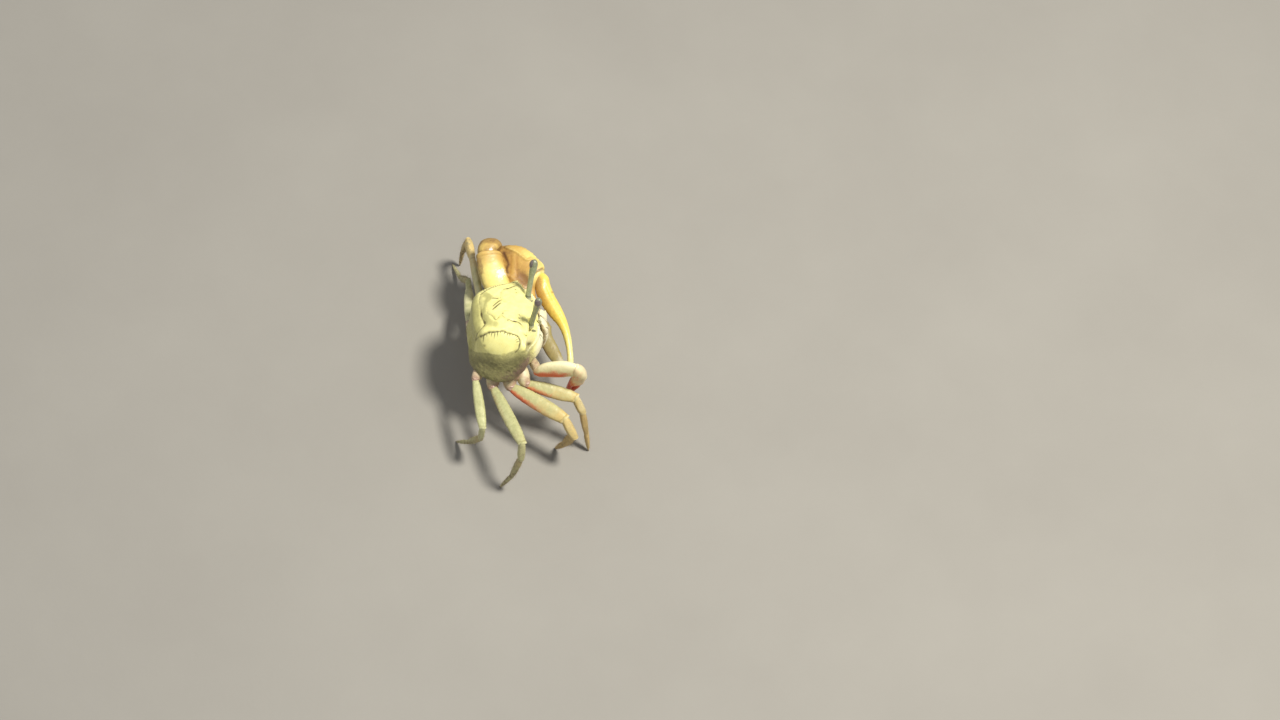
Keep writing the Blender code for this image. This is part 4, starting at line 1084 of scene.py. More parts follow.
def build_big_arm():
    arm = BIG_ELBOW - BIG_SHOULDER
    fore = BIG_CARPUS_END - BIG_ELBOW
    claw_coxa("claw_big", BIG_ROOT, BIG_SHOULDER, BIG_COXA_SIZE, 0.85, arm, 21, 0.3)
    rings, share, turn, inner = segment(BIG_SHOULDER, BIG_ELBOW, (0.0, 1.0, 0.0), BIG_MERUS_SIZE,
                                        BIG_MERUS_PROFILE, BIG_SHOULDER - BIG_ROOT, fore, 200, 120, 0.06,
                                        cut=(FLANK_POINT, FLANK_FACING))
    folds = clip(np.sin(share * 120.0 + 4.0 * grain(rings, 1.2, 32)))
    wrinkle = np.sin(share * 62.0 + 2.0 * grain(rings, 2.0, 36)) * ramp(0.62, 0.8, share)
    teeth = clip(np.sin(share * 70.0)) ** 2 * ramp(0.2, 0.4, share)
    amount = (0.8 * shell_relief(rings, 31) + 0.018 * folds * edge_band(turn, 20.0, 60.0)
              + 0.02 * bell(share - 0.985, 0.012) - 0.05 * bell(share - 0.955, 0.012)
              + 0.035 * wrinkle * edge_band(turn, 40.0, 70.0) + 0.16 * teeth * edge_band(turn, 182.0, 8.0))
    # painted shade: olive and brown on the side of the arm turned from the light, the brown also its own
    # blotches
    brown = most(ragged(1.1 * bell(share - 0.82, 0.14) * edge_band(turn, 30.0, 26.0), rings, 0.9, 33),
                 0.5 * ragged(0.9 * edge_band(turn, 5.0, 24.0), rings, 1.0, 34))
    # painted highlight: a speckled pale patch where the wet arm shines
    away = from_spot(rings, HIGHLIGHT_PATCH)
    wet_gloss_and_painted_highlight = ramp(0.35, 0.6, bell(away, 0.052) + 0.55 * grain(rings, 0.26, 35)) * ramp(0.085, 0.06, away)
    tan = 0.95 * ramp(0.7, 0.92, share) + 0.9 * edge_band(turn, 185.0, 40.0)
    piece("claw_big_merus_shell", pushed(rings, amount * (1.0 - inner)), "claw", ["claw_big_merus"],
          {"yellow": 0.95 - 0.7 * clip(tan), "tan": np.clip(0.35 * tan, 0.0, 0.8),
           "brown": 0.5 * brown * (1.0 - wet_gloss_and_painted_highlight), "pale": 0.95 * wet_gloss_and_painted_highlight,
           "olive": 0.62 * edge_band(turn, 18.0, 40.0) * ramp(-0.7, 0.4, grain(rings, 1.5, 37)),
           "groove": 0.25 * bell(share - 0.955, 0.008)})
    heel = heel_direction()
    rings, share, turn, inner = segment(BIG_ELBOW, BIG_CARPUS_END, (0.4, 0.05, 0.9), BIG_CARPUS_SIZE,
                                        BIG_CARPUS_PROFILE, arm, None, 130, 120, 0.0, 0.12, BLUNT_CAP,
                                        (BIG_HEEL_CUT + CARPUS_SLACK * heel, heel))
    bumps = clip(grain(rings, 0.5, 42) - 0.3)
    amount = (0.9 * shell_relief(rings, 41) + 0.12 * bumps * edge_band(turn, 0.0, 70.0)
              - 0.04 * bell(share - 0.12, 0.03))
    # painted highlight: a pale spot on the elbow, ringed by brown
    away = from_spot(rings, ELBOW_HIGHLIGHT)
    light = ramp(0.35, 0.6, 1.1 * bell(away, 0.022) + 0.25 * grain(rings, 0.25, 43))
    light = light * ramp(0.045, 0.03, away)
    sore = ramp(0.105, 0.045, away + 0.012 * grain(rings, 0.6, 45))
    dark = ragged(0.45 + 0.35 * ramp(0.2, 0.7, share), rings, 1.6, 44, 0.4)
    piece("claw_big_carpus_shell", pushed(rings, amount * (1.0 - inner)), "claw", ["claw_big_carpus"],
          {"yellow": 0.25 * (1.0 - dark), "tan": 0.45 * dark,
           "brown": 0.4 * dark + 0.4 * sore * (1.0 - light), "pale": 0.95 * light,
           "olive": 0.35 * dark * (1.0 - sore), "groove": 0.2 * bell(share - 0.12, 0.022)})
    centres = [BIG_SHOULDER, BIG_ELBOW, BIG_HEEL_CUT + np.array([0.0, -0.01, -0.03])]
    skin_bulbs("joint_skin_claw_big", centres, [0.046, 0.086, 0.04], 930)


def palm_marks(s, t, side):
    """Relief of the palm's inner face in shell widths, that face, the knob and the face's parts."""
    face = ramp(0.0, 0.5, side)
    spot = np.stack([s, t], -1)
    apart, _, beside = to_path(spot, smooth_path(PALM_RIDGE, 24))
    hollow = bell(s - PALM_HOLLOW[0], 0.105) * bell(t - PALM_HOLLOW[1], 0.055)
    knob = bell(s - 0.372, 0.02) * bell(t - 0.292, 0.018)
    part = {"crest": bell(apart, 0.016), "above": ramp(-0.01, 0.03, apart * beside),
            "lower": bell(to_path(spot, smooth_path(PALM_LOWER_RIDGE, 24))[0], 0.022),
            "hollow": clip(1.6 * hollow), "shelf": bell(s - 0.02, 0.1) * bell(t - 0.02, 0.06),
            "stripe": most(*(bell(to_path(spot, path)[0], 0.016) for path in PALM_STRIPES)),
            "seat": bell(s - 0.335, 0.012) * ramp(0.17, 0.22, t)}
    lift = (0.013 * part["crest"] + 0.012 * part["lower"] - 0.022 * hollow - 0.012 * part["shelf"]
            - 0.003 * part["stripe"] + 0.004 * knob - 0.004 * part["seat"])
    return lift * face, face, knob, {name: field * face for name, field in part.items()}


def build_big_hand():
    axes = claw_frame()
    heel = heel_direction()
    s, t, n, side, turn, _, _ = blade(PALM_STATIONS, 460, 150, 0.85)
    lift, face, knob, inner = palm_marks(s, t, side)
    rings = spread_out(BIG_WRIST, axes, s, t, n + lift)
    short = (rings - BIG_HEEL_CUT) @ heel + PALM_SLACK
    rings = place(rings - np.minimum(short, 0.0)[..., None] * heel)
    gape = ramp(0.58, 0.66, s)
    knobs = clip(np.sin(s * 150.0 + grain(rings, 2.0, 53)))
    tooth = clip(np.sin(s * 128.0)) * (0.6 + 0.4 * np.sin(s * 37.0))
    beads = clip(grain(rings, 0.42, 51) - 0.15)
    amount = (shell_relief(rings, 52, 0.03, 0.014) + 0.1 * beads * ramp(0.1, 0.6, -side)
              + 0.07 * knobs * edge_band(turn, 0.0, 9.0) * ramp(0.33, 0.2, s)
              + 0.07 * clip(np.sin(s * 170.0)) * inner["crest"]
              + 0.07 * tooth * gape * (edge_band(turn, 0.0, 14.0) + 0.6 * edge_band(turn, 24.0, 9.0))
              + 0.28 * gape * bell(s - 0.9, 0.035) * edge_band(turn, 0.0, 26.0))
    wave = grain(rings, 1.6, 54)
    finger = ramp(0.55, 0.8, s)
    top = most(ramp(0.18, 0.27, t + 0.012 * wave), inner["above"])
    yellow = (0.8 * top * ramp(0.5, 0.42, s) * ramp(-0.02, 0.2, s)
              + 0.45 * edge_band(turn, 0.0, 16.0) * ramp(0.08, 0.25, s) * ramp(0.5, 0.42, s))
    yellow = most(yellow, 0.75 * ramp(0.26, 0.34, s) * ramp(0.46, 0.4, s) * ramp(0.02, 0.1, t) * face,
                  0.5 * inner["crest"])
    tan = 0.35 * (face - inner["above"]) * ramp(0.42, 0.3, s)
    tan = tan + 0.55 * inner["stripe"] + 0.4 * inner["shelf"]
    spots = ramp(0.35, 0.6, grain(rings, 0.9, 55) + 0.2 * wave)
    # brown in the palm's hollow and spots, and painted shade on the palm between the finger bases
    brown = most(0.95 * inner["hollow"] + 0.5 * spots * finger * ramp(1.35, 1.0, s),
                 0.55 * ramp(0.07, 0.0, s + 0.02 * wave) * ramp(0.16, 0.08, t),
                 0.4 * ramp(0.46, 0.6, s) * ramp(0.85, 0.65, s))
    pale = 0.05 * inner["lower"] + 0.55 * ramp(1.2, 1.36, s) + 0.3 * knob
    # painted shadow: dark along the slit between the arm and the palm, with the dark seat and joint line at
    # the finger's base
    groove = most(0.8 * inner["seat"], 0.5 * bell(s - 0.345, 0.01) * (t > 0.2) * (side > -0.2),
                  0.9 * bell(near_line(measured(rings), ARM_SLIT), 0.018))
    # olive on the fixed finger is partly its own colour and partly painted shade
    piece("claw_big_palm_shell", pushed(rings, amount), "claw", ["claw_big_propodus"],
          {"yellow": yellow, "tan": clip(tan) * (1.0 - finger), "olive": 0.9 * finger,
           "brown": clip(brown), "pale": clip(pale), "groove": clip(groove)})


def build_big_finger():
    s, t, n, side, turn, low, high = blade(FINGER_STATIONS, 380, 120, 0.9)
    furrow = bell(t - (0.5 * (low + high) + 0.03), 0.02) * ramp(0.1, 0.5, side)
    n = n - FINGER_SET_BACK - 0.006 * furrow * ramp(0.45, 0.55, s) * ramp(1.1, 0.9, s)
    rings = place(spread_out(BIG_WRIST, claw_frame(), s, t, n))
    tooth = clip(np.sin(s * 118.0 + 0.8)) * (0.6 + 0.4 * np.sin(s * 31.0))
    tooth = tooth * ramp(0.56, 0.64, s) * ramp(1.4, 1.3, s)
    bump = bell(s - 0.6, 0.012) + 0.6 * bell(s - 0.47, 0.014)
    rough = clip(np.sin(s * 160.0)) * ramp(0.75, 0.55, s)
    amount = (shell_relief(rings, 61, 0.018, 0.008) + 0.05 * bump * edge_band(turn, 0.0, 18.0)
              + 0.05 * tooth * (edge_band(turn, 180.0, 13.0) + 0.6 * edge_band(turn, 156.0, 8.0))
              + 0.015 * rough * edge_band(turn, 0.0, 12.0))
    # painted light and shade: tan and brown on the finger's lower side and base, pale on its upper edge; the
    # pale tip is its own colour
    height = clip((t - low) / (high - low))
    tan = most(ramp(0.82, 0.22, height + 0.1 * grain(rings, 1.8, 62)) * ramp(1.0, 0.55, s),
               0.55 * ramp(0.72, 0.45, s) * ramp(0.8, 0.2, height))
    brown = most(0.75 * ramp(0.5, 0.36, s) * ramp(0.7, 0.2, height), 0.55 * bump * ramp(0.8, 0.95, height))
    pale = clip(0.75 * ramp(0.9, 1.3, s) + 0.15 * ramp(0.75, 1.0, height))
    piece("claw_big_finger_shell", pushed(rings, amount), "finger", ["claw_big_dactyl"],
          {"tan": 0.95 * tan, "pale": pale * (1.0 - 0.6 * tan), "brown": brown})


build_big_arm()
build_big_hand()
build_big_finger()

# ---- the small claw ----
SMALL_ROOT = np.array([-0.275, -0.3, -0.51])
SMALL_HIP = np.array([-0.4, -0.345, -0.52])
SMALL_ELBOW = np.array([-0.52, -0.7, -0.4])
SMALL_WRIST = np.array([-0.49, -0.765, -0.51])
SMALL_TIP = np.array([-0.385, -0.69, -0.82])
SMALL_COXA_SIZE = (0.1, 0.095)
SMALL_MERUS_SIZE = (0.174, 0.114)
SMALL_CARPUS_SIZE = (0.15, 0.135)
SMALL_MERUS_PROFILE = [(0.0, 0.62, 0.76), (0.08, 0.82, 0.9), (0.3, 1.0, 1.0), (0.75, 1.0, 1.0),
                       (0.93, 0.84, 0.9), (1.0, 0.8, 0.88)]
SMALL_CARPUS_PROFILE = [(0.0, 0.84, 0.86), (0.2, 1.0, 1.0), (0.6, 1.04, 1.04), (1.0, 0.9, 0.9)]
# hand with its fixed finger, then moving finger: along, lower edge, upper edge, half thickness
SMALL_HAND = [(-0.03, -0.04, 0.04, 0.04), (0.0, -0.054, 0.054, 0.05), (0.035, -0.066, 0.064, 0.06),
              (0.105, -0.068, 0.064, 0.06), (0.135, -0.066, 0.014, 0.052), (0.17, -0.062, -0.003, 0.042),
              (0.26, -0.052, -0.005, 0.033), (0.31, -0.04, -0.006, 0.026), (0.328, -0.028, -0.012, 0.012)]
SMALL_FINGER = [(0.09, 0.028, 0.04, 0.012), (0.12, 0.016, 0.06, 0.034), (0.165, 0.009, 0.064, 0.04),
                (0.25, 0.006, 0.052, 0.033), (0.305, 0.006, 0.038, 0.025), (0.328, 0.01, 0.022, 0.012)]
# bristles of each finger of the small claw
SMALL_CLAW_HAIRS = 34


def build_small_arm():
    arm = SMALL_ELBOW - SMALL_HIP
    fore = SMALL_WRIST - SMALL_ELBOW
    claw_coxa("claw_small", SMALL_ROOT, SMALL_HIP, SMALL_COXA_SIZE, 0.92, arm, 71, 0.25)
    rings, share, turn, inner = segment(SMALL_HIP, SMALL_ELBOW, UP, SMALL_MERUS_SIZE, SMALL_MERUS_PROFILE,
                                        SMALL_HIP - SMALL_ROOT, fore, 110, 80, 0.018)
    amount = (shell_relief(rings, 73, 0.025, 0.012) + 0.05 * bell(share - 0.98, 0.02)
              - 0.06 * bell(share - 0.935, 0.016))
    wave = grain(rings, 1.2, 74)
    below = ramp(70.0, 108.0, angle_from(turn, 0.0) + 12.0 * wave)
    red = below * ramp(0.98, 0.7, share + 0.05 * wave) + 0.35 * ramp(0.12, 0.0, share)
    piece("claw_small_merus_shell", pushed(rings, amount * (1.0 - inner)), "red",
          ["claw_small_merus"], {"coral": clip(red), "pale": 0.7 * edge_band(turn, 0.0, 50.0)})
    rings, share, turn, inner = segment(SMALL_ELBOW, SMALL_WRIST, (-0.2, -1.0, 0.4), SMALL_CARPUS_SIZE,
                                        SMALL_CARPUS_PROFILE, arm, SMALL_TIP - SMALL_WRIST, 70, 80, 0.012)
    red = 0.22 + 0.2 * grain(rings, 1.0, 75) + 0.5 * edge_band(turn, 180.0, 60.0)
    amount = shell_relief(rings, 76, 0.025, 0.012)
    piece("claw_small_carpus_shell", pushed(rings, amount * (1.0 - inner)), "red",
          ["claw_small_carpus"], {"coral": clip(red), "pale": 0.4 * edge_band(turn, 0.0, 60.0)})
    skin_bulbs("joint_skin_claw_small", [SMALL_HIP, SMALL_ELBOW, SMALL_WRIST], [0.04, 0.044, 0.042],
               940)


def build_small_hand():
    along = unit(SMALL_TIP - SMALL_WRIST)
    upper = square_to((0.0, -1.0, 0.0), along)
    axes = (along, upper, np.cross(along, upper))
    tufts = []
    for name, node, stations, inner_edge in (
            ("claw_small_hand_shell", "claw_small_propodus", SMALL_HAND, 0.0),
            ("claw_small_finger_shell", "claw_small_dactyl", SMALL_FINGER, 180.0)):
        s, t, n, _, turn, _, _ = blade(stations, 120, 64)
        rings = place(spread_out(SMALL_WRIST, axes, s, t, n))
        comb = clip(np.sin(s * 260.0)) * ramp(0.15, 0.19, s)
        spoon = ramp(0.24, 0.32, s) * ramp(0.328, 0.31, s)
        amount = (shell_relief(rings, 81, 0.018, 0.008) + 0.045 * comb * edge_band(turn, inner_edge, 16.0)
                  - 0.1 * spoon * edge_band(turn, inner_edge, 45.0))
        red = 0.25 + 0.75 * ramp(0.03, 0.17, s + 0.03 * grain(rings, 1.0, 82))
        pale = 0.35 * ramp(0.1, 0.0, s) + 0.55 * ramp(0.29, 0.32, s)
        rings = pushed(rings, amount)
        piece(name, rings, "red", [node], {"coral": clip(red), "pale": pale})
        normals = grid_normals(rings)
        chance = np.random.default_rng(83 + int(inner_edge))
        for _ in range(SMALL_CLAW_HAIRS):
            spot = nearest(s, turn, 0.2 + 0.125 * chance.random(),
                           inner_edge + 75.0 * chance.choice([-1, 1]))
            tufts.append((rings[spot], normals[spot] + 1.2 * turned(along)))
    bristles("bristles_claw_small", *zip(*tufts), 0.42, 0.035, 84)


build_small_arm()
build_small_hand()

# ---- eyes ----
EYE_BASE = (0.188, -0.252, -0.1)
EYE_TIP = (0.289, -0.292, 0.368)
STALK_RADIUS = 0.031
CORNEA_HALF = (0.0375, 0.036, 0.058)
# the stalk ends in a cup that holds the cornea from its inner side
CUP_HALF = (0.0385, 0.039, 0.063)
CUP_SHIFT = 0.0065
CORNEA_SHIFT = 0.0045
# which way the cornea's long side faces on each side of the body
EYE_FACING = {1: (0.1, 0.99, 0.0), -1: (-0.9, 0.4, 0.0)}
STALK_PROFILE = [(0.0, 1.05, 1.12), (0.06, 1.16, 1.2), (0.12, 1.0, 1.02), (0.17, 0.93, 0.95),
                 (0.45, 0.86, 0.88), (0.75, 0.9, 0.92), (1.0, 1.04, 1.06)]


def build_eye(hand):
    """A smooth stalk that swells into a cup, and the cornea that the cup holds."""
    name = SIDES[hand]
    base, tip = (np.array([hand, 1.0, 1.0]) * end for end in (EYE_BASE, EYE_TIP))
    axis = unit(tip - base)
    facing = square_to(EYE_FACING[hand], axis)
    beside = np.cross(axis, facing)
    middle = tip - axis * CORNEA_HALF[2]
    # one surface of rings from the stalk's root to the top of the cup: 0 to 1 is the stalk
    climb = np.concatenate([np.linspace(0.0, 1.0, 120), 1.0 + np.linspace(0.0, 1.0, 61)[1:]])[:-1]
    stem = np.minimum(climb, 1.0)
    blend = ramp(0.6, 1.0, stem)
    rise = np.sin(0.5 * math.pi * clip(climb - 1.0))
    shrink = np.sqrt(1.0 - rise ** 2)
    tall, wide = smooth_table(STALK_PROFILE, stem).T * STALK_RADIUS
    near = np.where(climb < 1.0, tall + (CUP_HALF[0] - tall) * blend, CUP_HALF[0] * shrink)
    broad = np.where(climb < 1.0, wide + (CUP_HALF[1] - wide) * blend, CUP_HALF[1] * shrink)
    reach = stem * ((middle - base) @ axis) + rise * CUP_HALF[2]
    start = base + np.outer(reach, axis) - np.outer(CUP_SHIFT * blend, facing)
    turn = circle(64)
    rings = place(start[:, None] + facing * (near[:, None] * np.cos(turn))[..., None]
                  + beside * (broad[:, None] * np.sin(turn))[..., None])
    share = np.broadcast_to(climb[:, None], rings.shape[:2])
    amount = shell_relief(rings, 200, 0.008, 0.006) - 0.05 * bell(share - 0.135, 0.018)
    amount = amount * ramp(1.9, 1.5, share)
    dark = 0.75 * bell(share - 0.135, 0.014) + 0.45 * ramp(0.8, 1.25, share)
    piece("eyestalk_%s_shell" % name, pushed(rings, amount), "stalk",
          ["eyestalk_" + name], {"pale": 0.9 * ramp(0.12, 0.05, share), "dark": clip(dark)})
    tilt = np.linspace(-0.5, 0.5, 60)[:, None] * math.pi * 0.99
    spin = circle(72)
    ball = (middle + facing * (CORNEA_SHIFT + CORNEA_HALF[0] * np.cos(tilt) * np.cos(spin))[..., None]
            + beside * (CORNEA_HALF[1] * np.cos(tilt) * np.sin(spin))[..., None]
            + axis * (CORNEA_HALF[2] * np.sin(tilt) * np.ones_like(spin))[..., None])
    piece("cornea_%s_shell" % name, place(ball), "cornea", ["cornea_" + name])


# ---- feelers and mouth ----
# each feeler's path, thickness, number of rings, and how pale and dark it is
FEELERS = [([(0.222, -0.3, -0.15), (0.244, -0.335, -0.15), (0.275, -0.365, -0.16), (0.32, -0.385, -0.185)],
            0.0085, 60, (0.35, 0.25)),
           ([(0.075, -0.345, -0.115), (0.108, -0.368, -0.112), (0.14, -0.362, -0.125)],
            0.013, 60, (0.5, 0.1)),
           ([(0.196, -0.285, -0.168), (0.216, -0.306, -0.15), (0.228, -0.33, -0.136)],
            0.024, 30, (0.3, 0.45))]
PALP_PATH = [(0.112, -0.425, -0.176), (0.098, -0.442, -0.205), (0.074, -0.448, -0.25),
             (0.062, -0.45, -0.285)]
MOUTH_INNER = 0.01
MOUTH_HAIRS = 70
MOUTH_LEVELS = [(-0.13, 0.06, -0.366, 0.01), (-0.145, 0.1, -0.38, 0.018),
                (-0.17, 0.12, -0.396, 0.026), (-0.27, 0.14, -0.424, 0.032),
                (-0.39, 0.134, -0.418, 0.032), (-0.5, 0.106, -0.38, 0.028),
                (-0.55, 0.07, -0.35, 0.02), (-0.562, 0.04, -0.34, 0.01)]


def feeler(path, thick, count=60, around=12, ringed=0.12):
    """A tapering feeler along a path in shell widths, ringed where it is a real feeler."""
    middle = smooth_path(path, count)
    along = unit(np.gradient(middle, axis=0))
    across = unit(np.cross(along, [0.3, 0.2, 1.0]))
    over = np.cross(along, across)
    turn = circle(around)[..., None]
    share = np.linspace(0.0, 1.0, count)
    half = thick * (1.0 - 0.82 * share) * (1.0 + ringed * np.sin(share * 110.0))
    ring = np.cos(turn) * across[:, None] + np.sin(turn) * over[:, None]
    return place(middle[:, None] + half[:, None, None] * ring)


def build_feelers(hand):
    """The second feeler beside the eye's root, on two swollen joints, and the folded first one."""
    mirror = np.array([hand, 1.0, 1.0])
    tubes = [feeler(np.array(path) * mirror, thick, count) for path, thick, count, _ in FEELERS]
    piece("feelers_" + SIDES[hand], tubes, "stalk", (),
          [{"pale": pale, "dark": dark} for _, _, _, (pale, dark) in FEELERS])


def build_mouth(hand):
    """One outer mouth plate: two joints parted by a seam, a small palp and a fringe."""
    name = SIDES[hand]
    levels = np.array(MOUTH_LEVELS)[::-1]
    z = np.linspace(levels[0, 0], levels[-1, 0], 120)
    outer, near, half = columns(levels, z)
    turn = circle(80)
    x = 0.5 * (outer + MOUTH_INNER) + 0.5 * (outer - MOUTH_INNER) * np.cos(turn)
    front = boxy(-np.sin(turn), 0.7)
    z = np.broadcast_to(z[:, None], x.shape)
    seam = bell(z + 0.262 + 0.1 * (x - 0.07), 0.009)
    furrow = bell(x - 0.052, 0.008) * ramp(-0.29, -0.32, z)
    rings = place(np.stack([hand * x, near - half * front, z], -1))
    seen = ramp(-0.2, 0.5, front)
    amount = shell_relief(rings, 210, 0.025, 0.012) - (0.14 * seam + 0.09 * furrow) * seen
    palp = feeler(np.array(PALP_PATH) * np.array([hand, 1.0, 1.0]), 0.014, 60, 24, 0.0)
    painted = {"pink": 0.25 + 0.25 * ramp(-0.2, 0.6, grain(rings, 0.9, 211)),
               "pale": 0.75 * seen * ramp(-0.52, -0.4, z), "mud": 0.25 * (1.0 - seen + 0.0 * x),
               "groove": clip(0.85 * seam + 0.5 * furrow) * seen}
    piece("mouth_plate_" + name, [pushed(rings, amount), palp], "under", ["maxilliped_" + name],
          [painted, {"pink": 0.3, "pale": 0.6, "mud": 0.1, "groove": 0.0}])
    chance = np.random.default_rng(212)
    heights = chance.uniform(-0.52, -0.16, MOUTH_HAIRS)
    reach = smooth_table(levels, heights)
    inward = np.full(MOUTH_HAIRS, 0.012 * hand)
    roots = np.stack([inward, reach[:, 1] - reach[:, 2] * 0.75, heights], -1)
    ways = np.tile((-0.3 * hand, -0.9, -0.5), (MOUTH_HAIRS, 1))
    bristles("bristles_mouth_" + name, place(roots), turned(ways), 0.28, 0.03, 213)


for side_sign in (1, -1):
    build_eye(side_sign)
    build_feelers(side_sign)
    build_mouth(side_sign)

# ---- underside ----
STERNUM_HALF = (0.245, 0.265)
STERNUM_LEVELS = [(-0.47, 0.7), (-0.48, 0.86), (-0.52, 1.0), (-0.61, 0.99), (-0.65, 0.9),
                  (-0.672, 0.74), (-0.68, 0.4)]
STERNUM_SEAMS = (-0.14, -0.03, 0.07, 0.16)
ABDOMEN_PATH = [(0.28, -0.46), (0.298, -0.485), (0.3, -0.56), (0.276, -0.668), (0.13, -0.716),
                (-0.06, -0.716), (-0.082, -0.714)]
ABDOMEN_WIDTH = 0.15
ABDOMEN_TAPER = 0.105
ABDOMEN_HALF_THICK = 0.024
ABDOMEN_SEAMS = (0.1, 0.22, 0.36, 0.52, 0.68, 0.84)
FLANK_HAIRS = 900
BODY_SKIN_ENDS = (-0.27, 0.272)
BODY_SKIN_LEVELS = [(-0.5, 0.86), (-0.56, 0.885), (-0.615, 0.88), (-0.645, 0.8), (-0.652, 0.66),
                    (-0.65, 0.45)]


def belly_plate(name, node, rings, seam, depth, seed, blotch, pink, pale, mud):
    """A plate of the underside with sunken seams; pink, pale and mud are shares of its blotches."""
    tint = ramp(-0.3, 0.6, grain(rings, blotch, seed + 1))
    piece(name, pushed(rings, shell_relief(rings, seed) - depth * seam), "under", [node],
          {"pink": pink * tint, "pale": pale * (1.0 - tint), "mud": mud * tint, "groove": 0.8 * seam})


def build_sternum():
    z, share = smooth_path(STERNUM_LEVELS, 90).T[..., None]
    turn = circle(160)
    x = STERNUM_HALF[0] * share * boxy(np.cos(turn), 0.7)
    y = STERNUM_HALF[1] * share * boxy(np.sin(turn), 0.7) - 0.005
    rings = place(np.stack([x, y, np.broadcast_to(z, x.shape)], -1))
    seam = most(bell(x, 0.008), *(bell(y - back - 0.1 * np.abs(x), 0.008) for back in STERNUM_SEAMS))
    belly_plate("breast_plate", "sternum", rings, seam, 0.13, 301, 1.5, 0.45, 0.25, 0.25)


def build_abdomen():
    path = smooth_path(ABDOMEN_PATH, 150)
    share = np.linspace(0.0, 1.0, 150)
    ends = np.clip(share / 0.03, 0.05, 1.0) * np.clip((1.0 - share) / 0.04, 0.04, 1.0)
    width = (ABDOMEN_WIDTH - ABDOMEN_TAPER * share ** 1.3) * np.sqrt(ends)
    run = unit(np.gradient(path, axis=0))
    out = np.stack([-run[:, 1], run[:, 0]], 1)
    out *= np.where(out[:, :1] - out[:, 1:] < 0.0, -1.0, 1.0)
    turn = circle(72)
    thick = ABDOMEN_HALF_THICK * np.sin(turn)
    x = width[:, None] * np.cos(turn)
    rings = place(np.stack([x, path[:, :1] + out[:, :1] * thick, path[:, 1:] + out[:, 1:] * thick], -1))
    along = np.broadcast_to(share[:, None], x.shape)
    seam = most(*(bell(along - at, 0.006) for at in ABDOMEN_SEAMS))
    belly_plate("tail_flap", "abdomen", rings, seam, 0.11, 311, 1.1, 0.3, 0.35, 0.2)


def build_pile():
    """Short fuzz low on the flanks and between the leg roots."""
    chance = np.random.default_rng(320)
    wall = shell_rings()[1]
    low_side = np.flatnonzero(wall[0, :, 1] > -0.14)
    picked = low_side[chance.integers(0, len(low_side), FLANK_HAIRS)]
    rows = (chance.uniform(0.42, 0.98, len(picked)) * (len(wall) - 1)).astype(int)
    roots = wall[rows, picked]
    ways = np.column_stack([roots[:, 0], roots[:, 1], np.full(len(roots), -0.45)])
    bristles("bristles_flank", place(roots), turned(ways), 0.3, 0.03, 321, untidy=0.5)


def build_body_skin():
    """Soft skin that closes the body between the shell's lower edge and the leg roots."""
    outline = carapace_outline()[::4]
    outline = outline[np.abs(outline[:, 1] + 0.02) < 0.4]
    z, share = smooth_path(BODY_SKIN_LEVELS, 60).T[..., None]
    x, y = (middle + (edge - middle) * share for edge, middle in zip(outline.T, SHELL_CENTRE))
    rings = place(np.stack([x, np.clip(y, *BODY_SKIN_ENDS), np.broadcast_to(z, x.shape)], -1))
    fold = 0.1 * grain(rings, 0.9, 330) + 0.05 * grain(rings, 0.3, 331)
    piece("body_skin", pushed(rings, fold), "skin")


build_sternum()
build_abdomen()
build_body_skin()
build_pile()

# ---- stage ----
# the camera's up, in the body's own frame
CAMERA_UP = (0.7, 0.0, 0.714)
CAMERA_DISTANCE = 1.5
VIEW_WIDTH = 0.2586
# where the middle of the back lies from the middle of the picture, metres at the crab
BACK_OFFSET = (-0.0273, 0.0109)
SENSOR_WIDTH = 36.0
FLOOR_HALF = 3.0


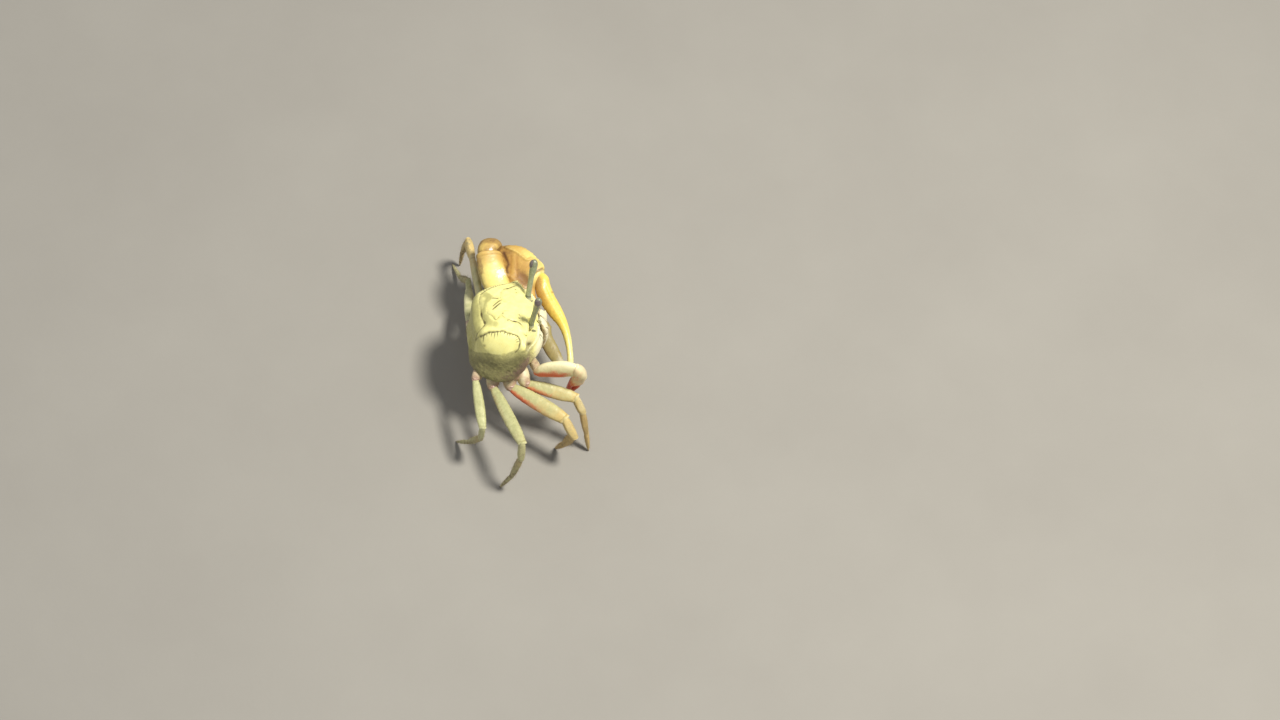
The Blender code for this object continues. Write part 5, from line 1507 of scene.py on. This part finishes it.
def make_camera():
    toward = unit(turned(TO_CAMERA))
    up = square_to(turned(CAMERA_UP), toward)
    right = np.cross(up, toward)
    spot = place((0.0, 0.0, 0.0)) - right * BACK_OFFSET[0] - up * BACK_OFFSET[1]
    spot = spot + toward * CAMERA_DISTANCE
    data = bpy.data.cameras.new("camera")
    data.sensor_width = SENSOR_WIDTH
    data.lens = SENSOR_WIDTH * CAMERA_DISTANCE / VIEW_WIDTH
    data.clip_start = 0.01
    data.clip_end = 20.0
    camera = bpy.data.objects.new("camera", data)
    camera.matrix_world = Matrix([(*row, at) for row, at in zip(np.stack([right, up, toward]).T, spot)]
                                 + [(0.0, 0.0, 0.0, 1.0)])
    bpy.context.scene.collection.objects.link(camera)
    bpy.context.scene.camera = camera
    return right, up, toward


def make_light(name, toward, distance, size, power, colour):
    data = bpy.data.lights.new(name, "AREA")
    data.shape = "DISK"
    data.size = size
    data.energy = power
    data.color = colour
    light = bpy.data.objects.new(name, data)
    light.location = Vector(toward).normalized() * distance
    light.rotation_mode = "QUATERNION"
    light.rotation_quaternion = Vector(toward).to_track_quat("Z", "Y")
    bpy.context.scene.collection.objects.link(light)


def make_stage():
    right, up, toward = make_camera()
    make_light("key", 0.42 * right + 0.44 * up + 0.8 * toward, 0.6, 0.12, 4.7, (1.0, 0.965, 0.88))
    make_light("fill", -0.7 * right + 0.1 * up + 0.8 * toward, 0.7, 0.5, 0.35, (0.9, 0.95, 1.0))
    make_light("back", (0.3, 0.9, 0.7), 0.7, 0.4, 0.35, (1.0, 1.0, 1.0))
    world = bpy.data.worlds.new("studio")
    world.use_nodes = True
    sky = world.node_tree.nodes["Background"]
    sky.inputs["Color"].default_value = (0.95, 0.97, 1.0, 1.0)
    sky.inputs["Strength"].default_value = 0.3
    bpy.context.scene.world = world
    bpy.context.scene.view_settings.view_transform = "Standard"
    floor = Finish("floor")
    cloud = floor.noise(50.0, 4.0)
    tone = floor.mix(cloud, (0.27, 0.255, 0.23), (0.33, 0.315, 0.285))
    material = floor.finish(tone, 0.75, floor.noise(1.2, 3.0), 0.03)
    corners = [(FLOOR_HALF * x, FLOOR_HALF * y, 0.0) for x, y in ((-1, -1), (1, -1), (1, 1), (-1, 1))]
    plane = make_object("floor", corners, [(0, 1, 2, 3)], material)


make_stage()
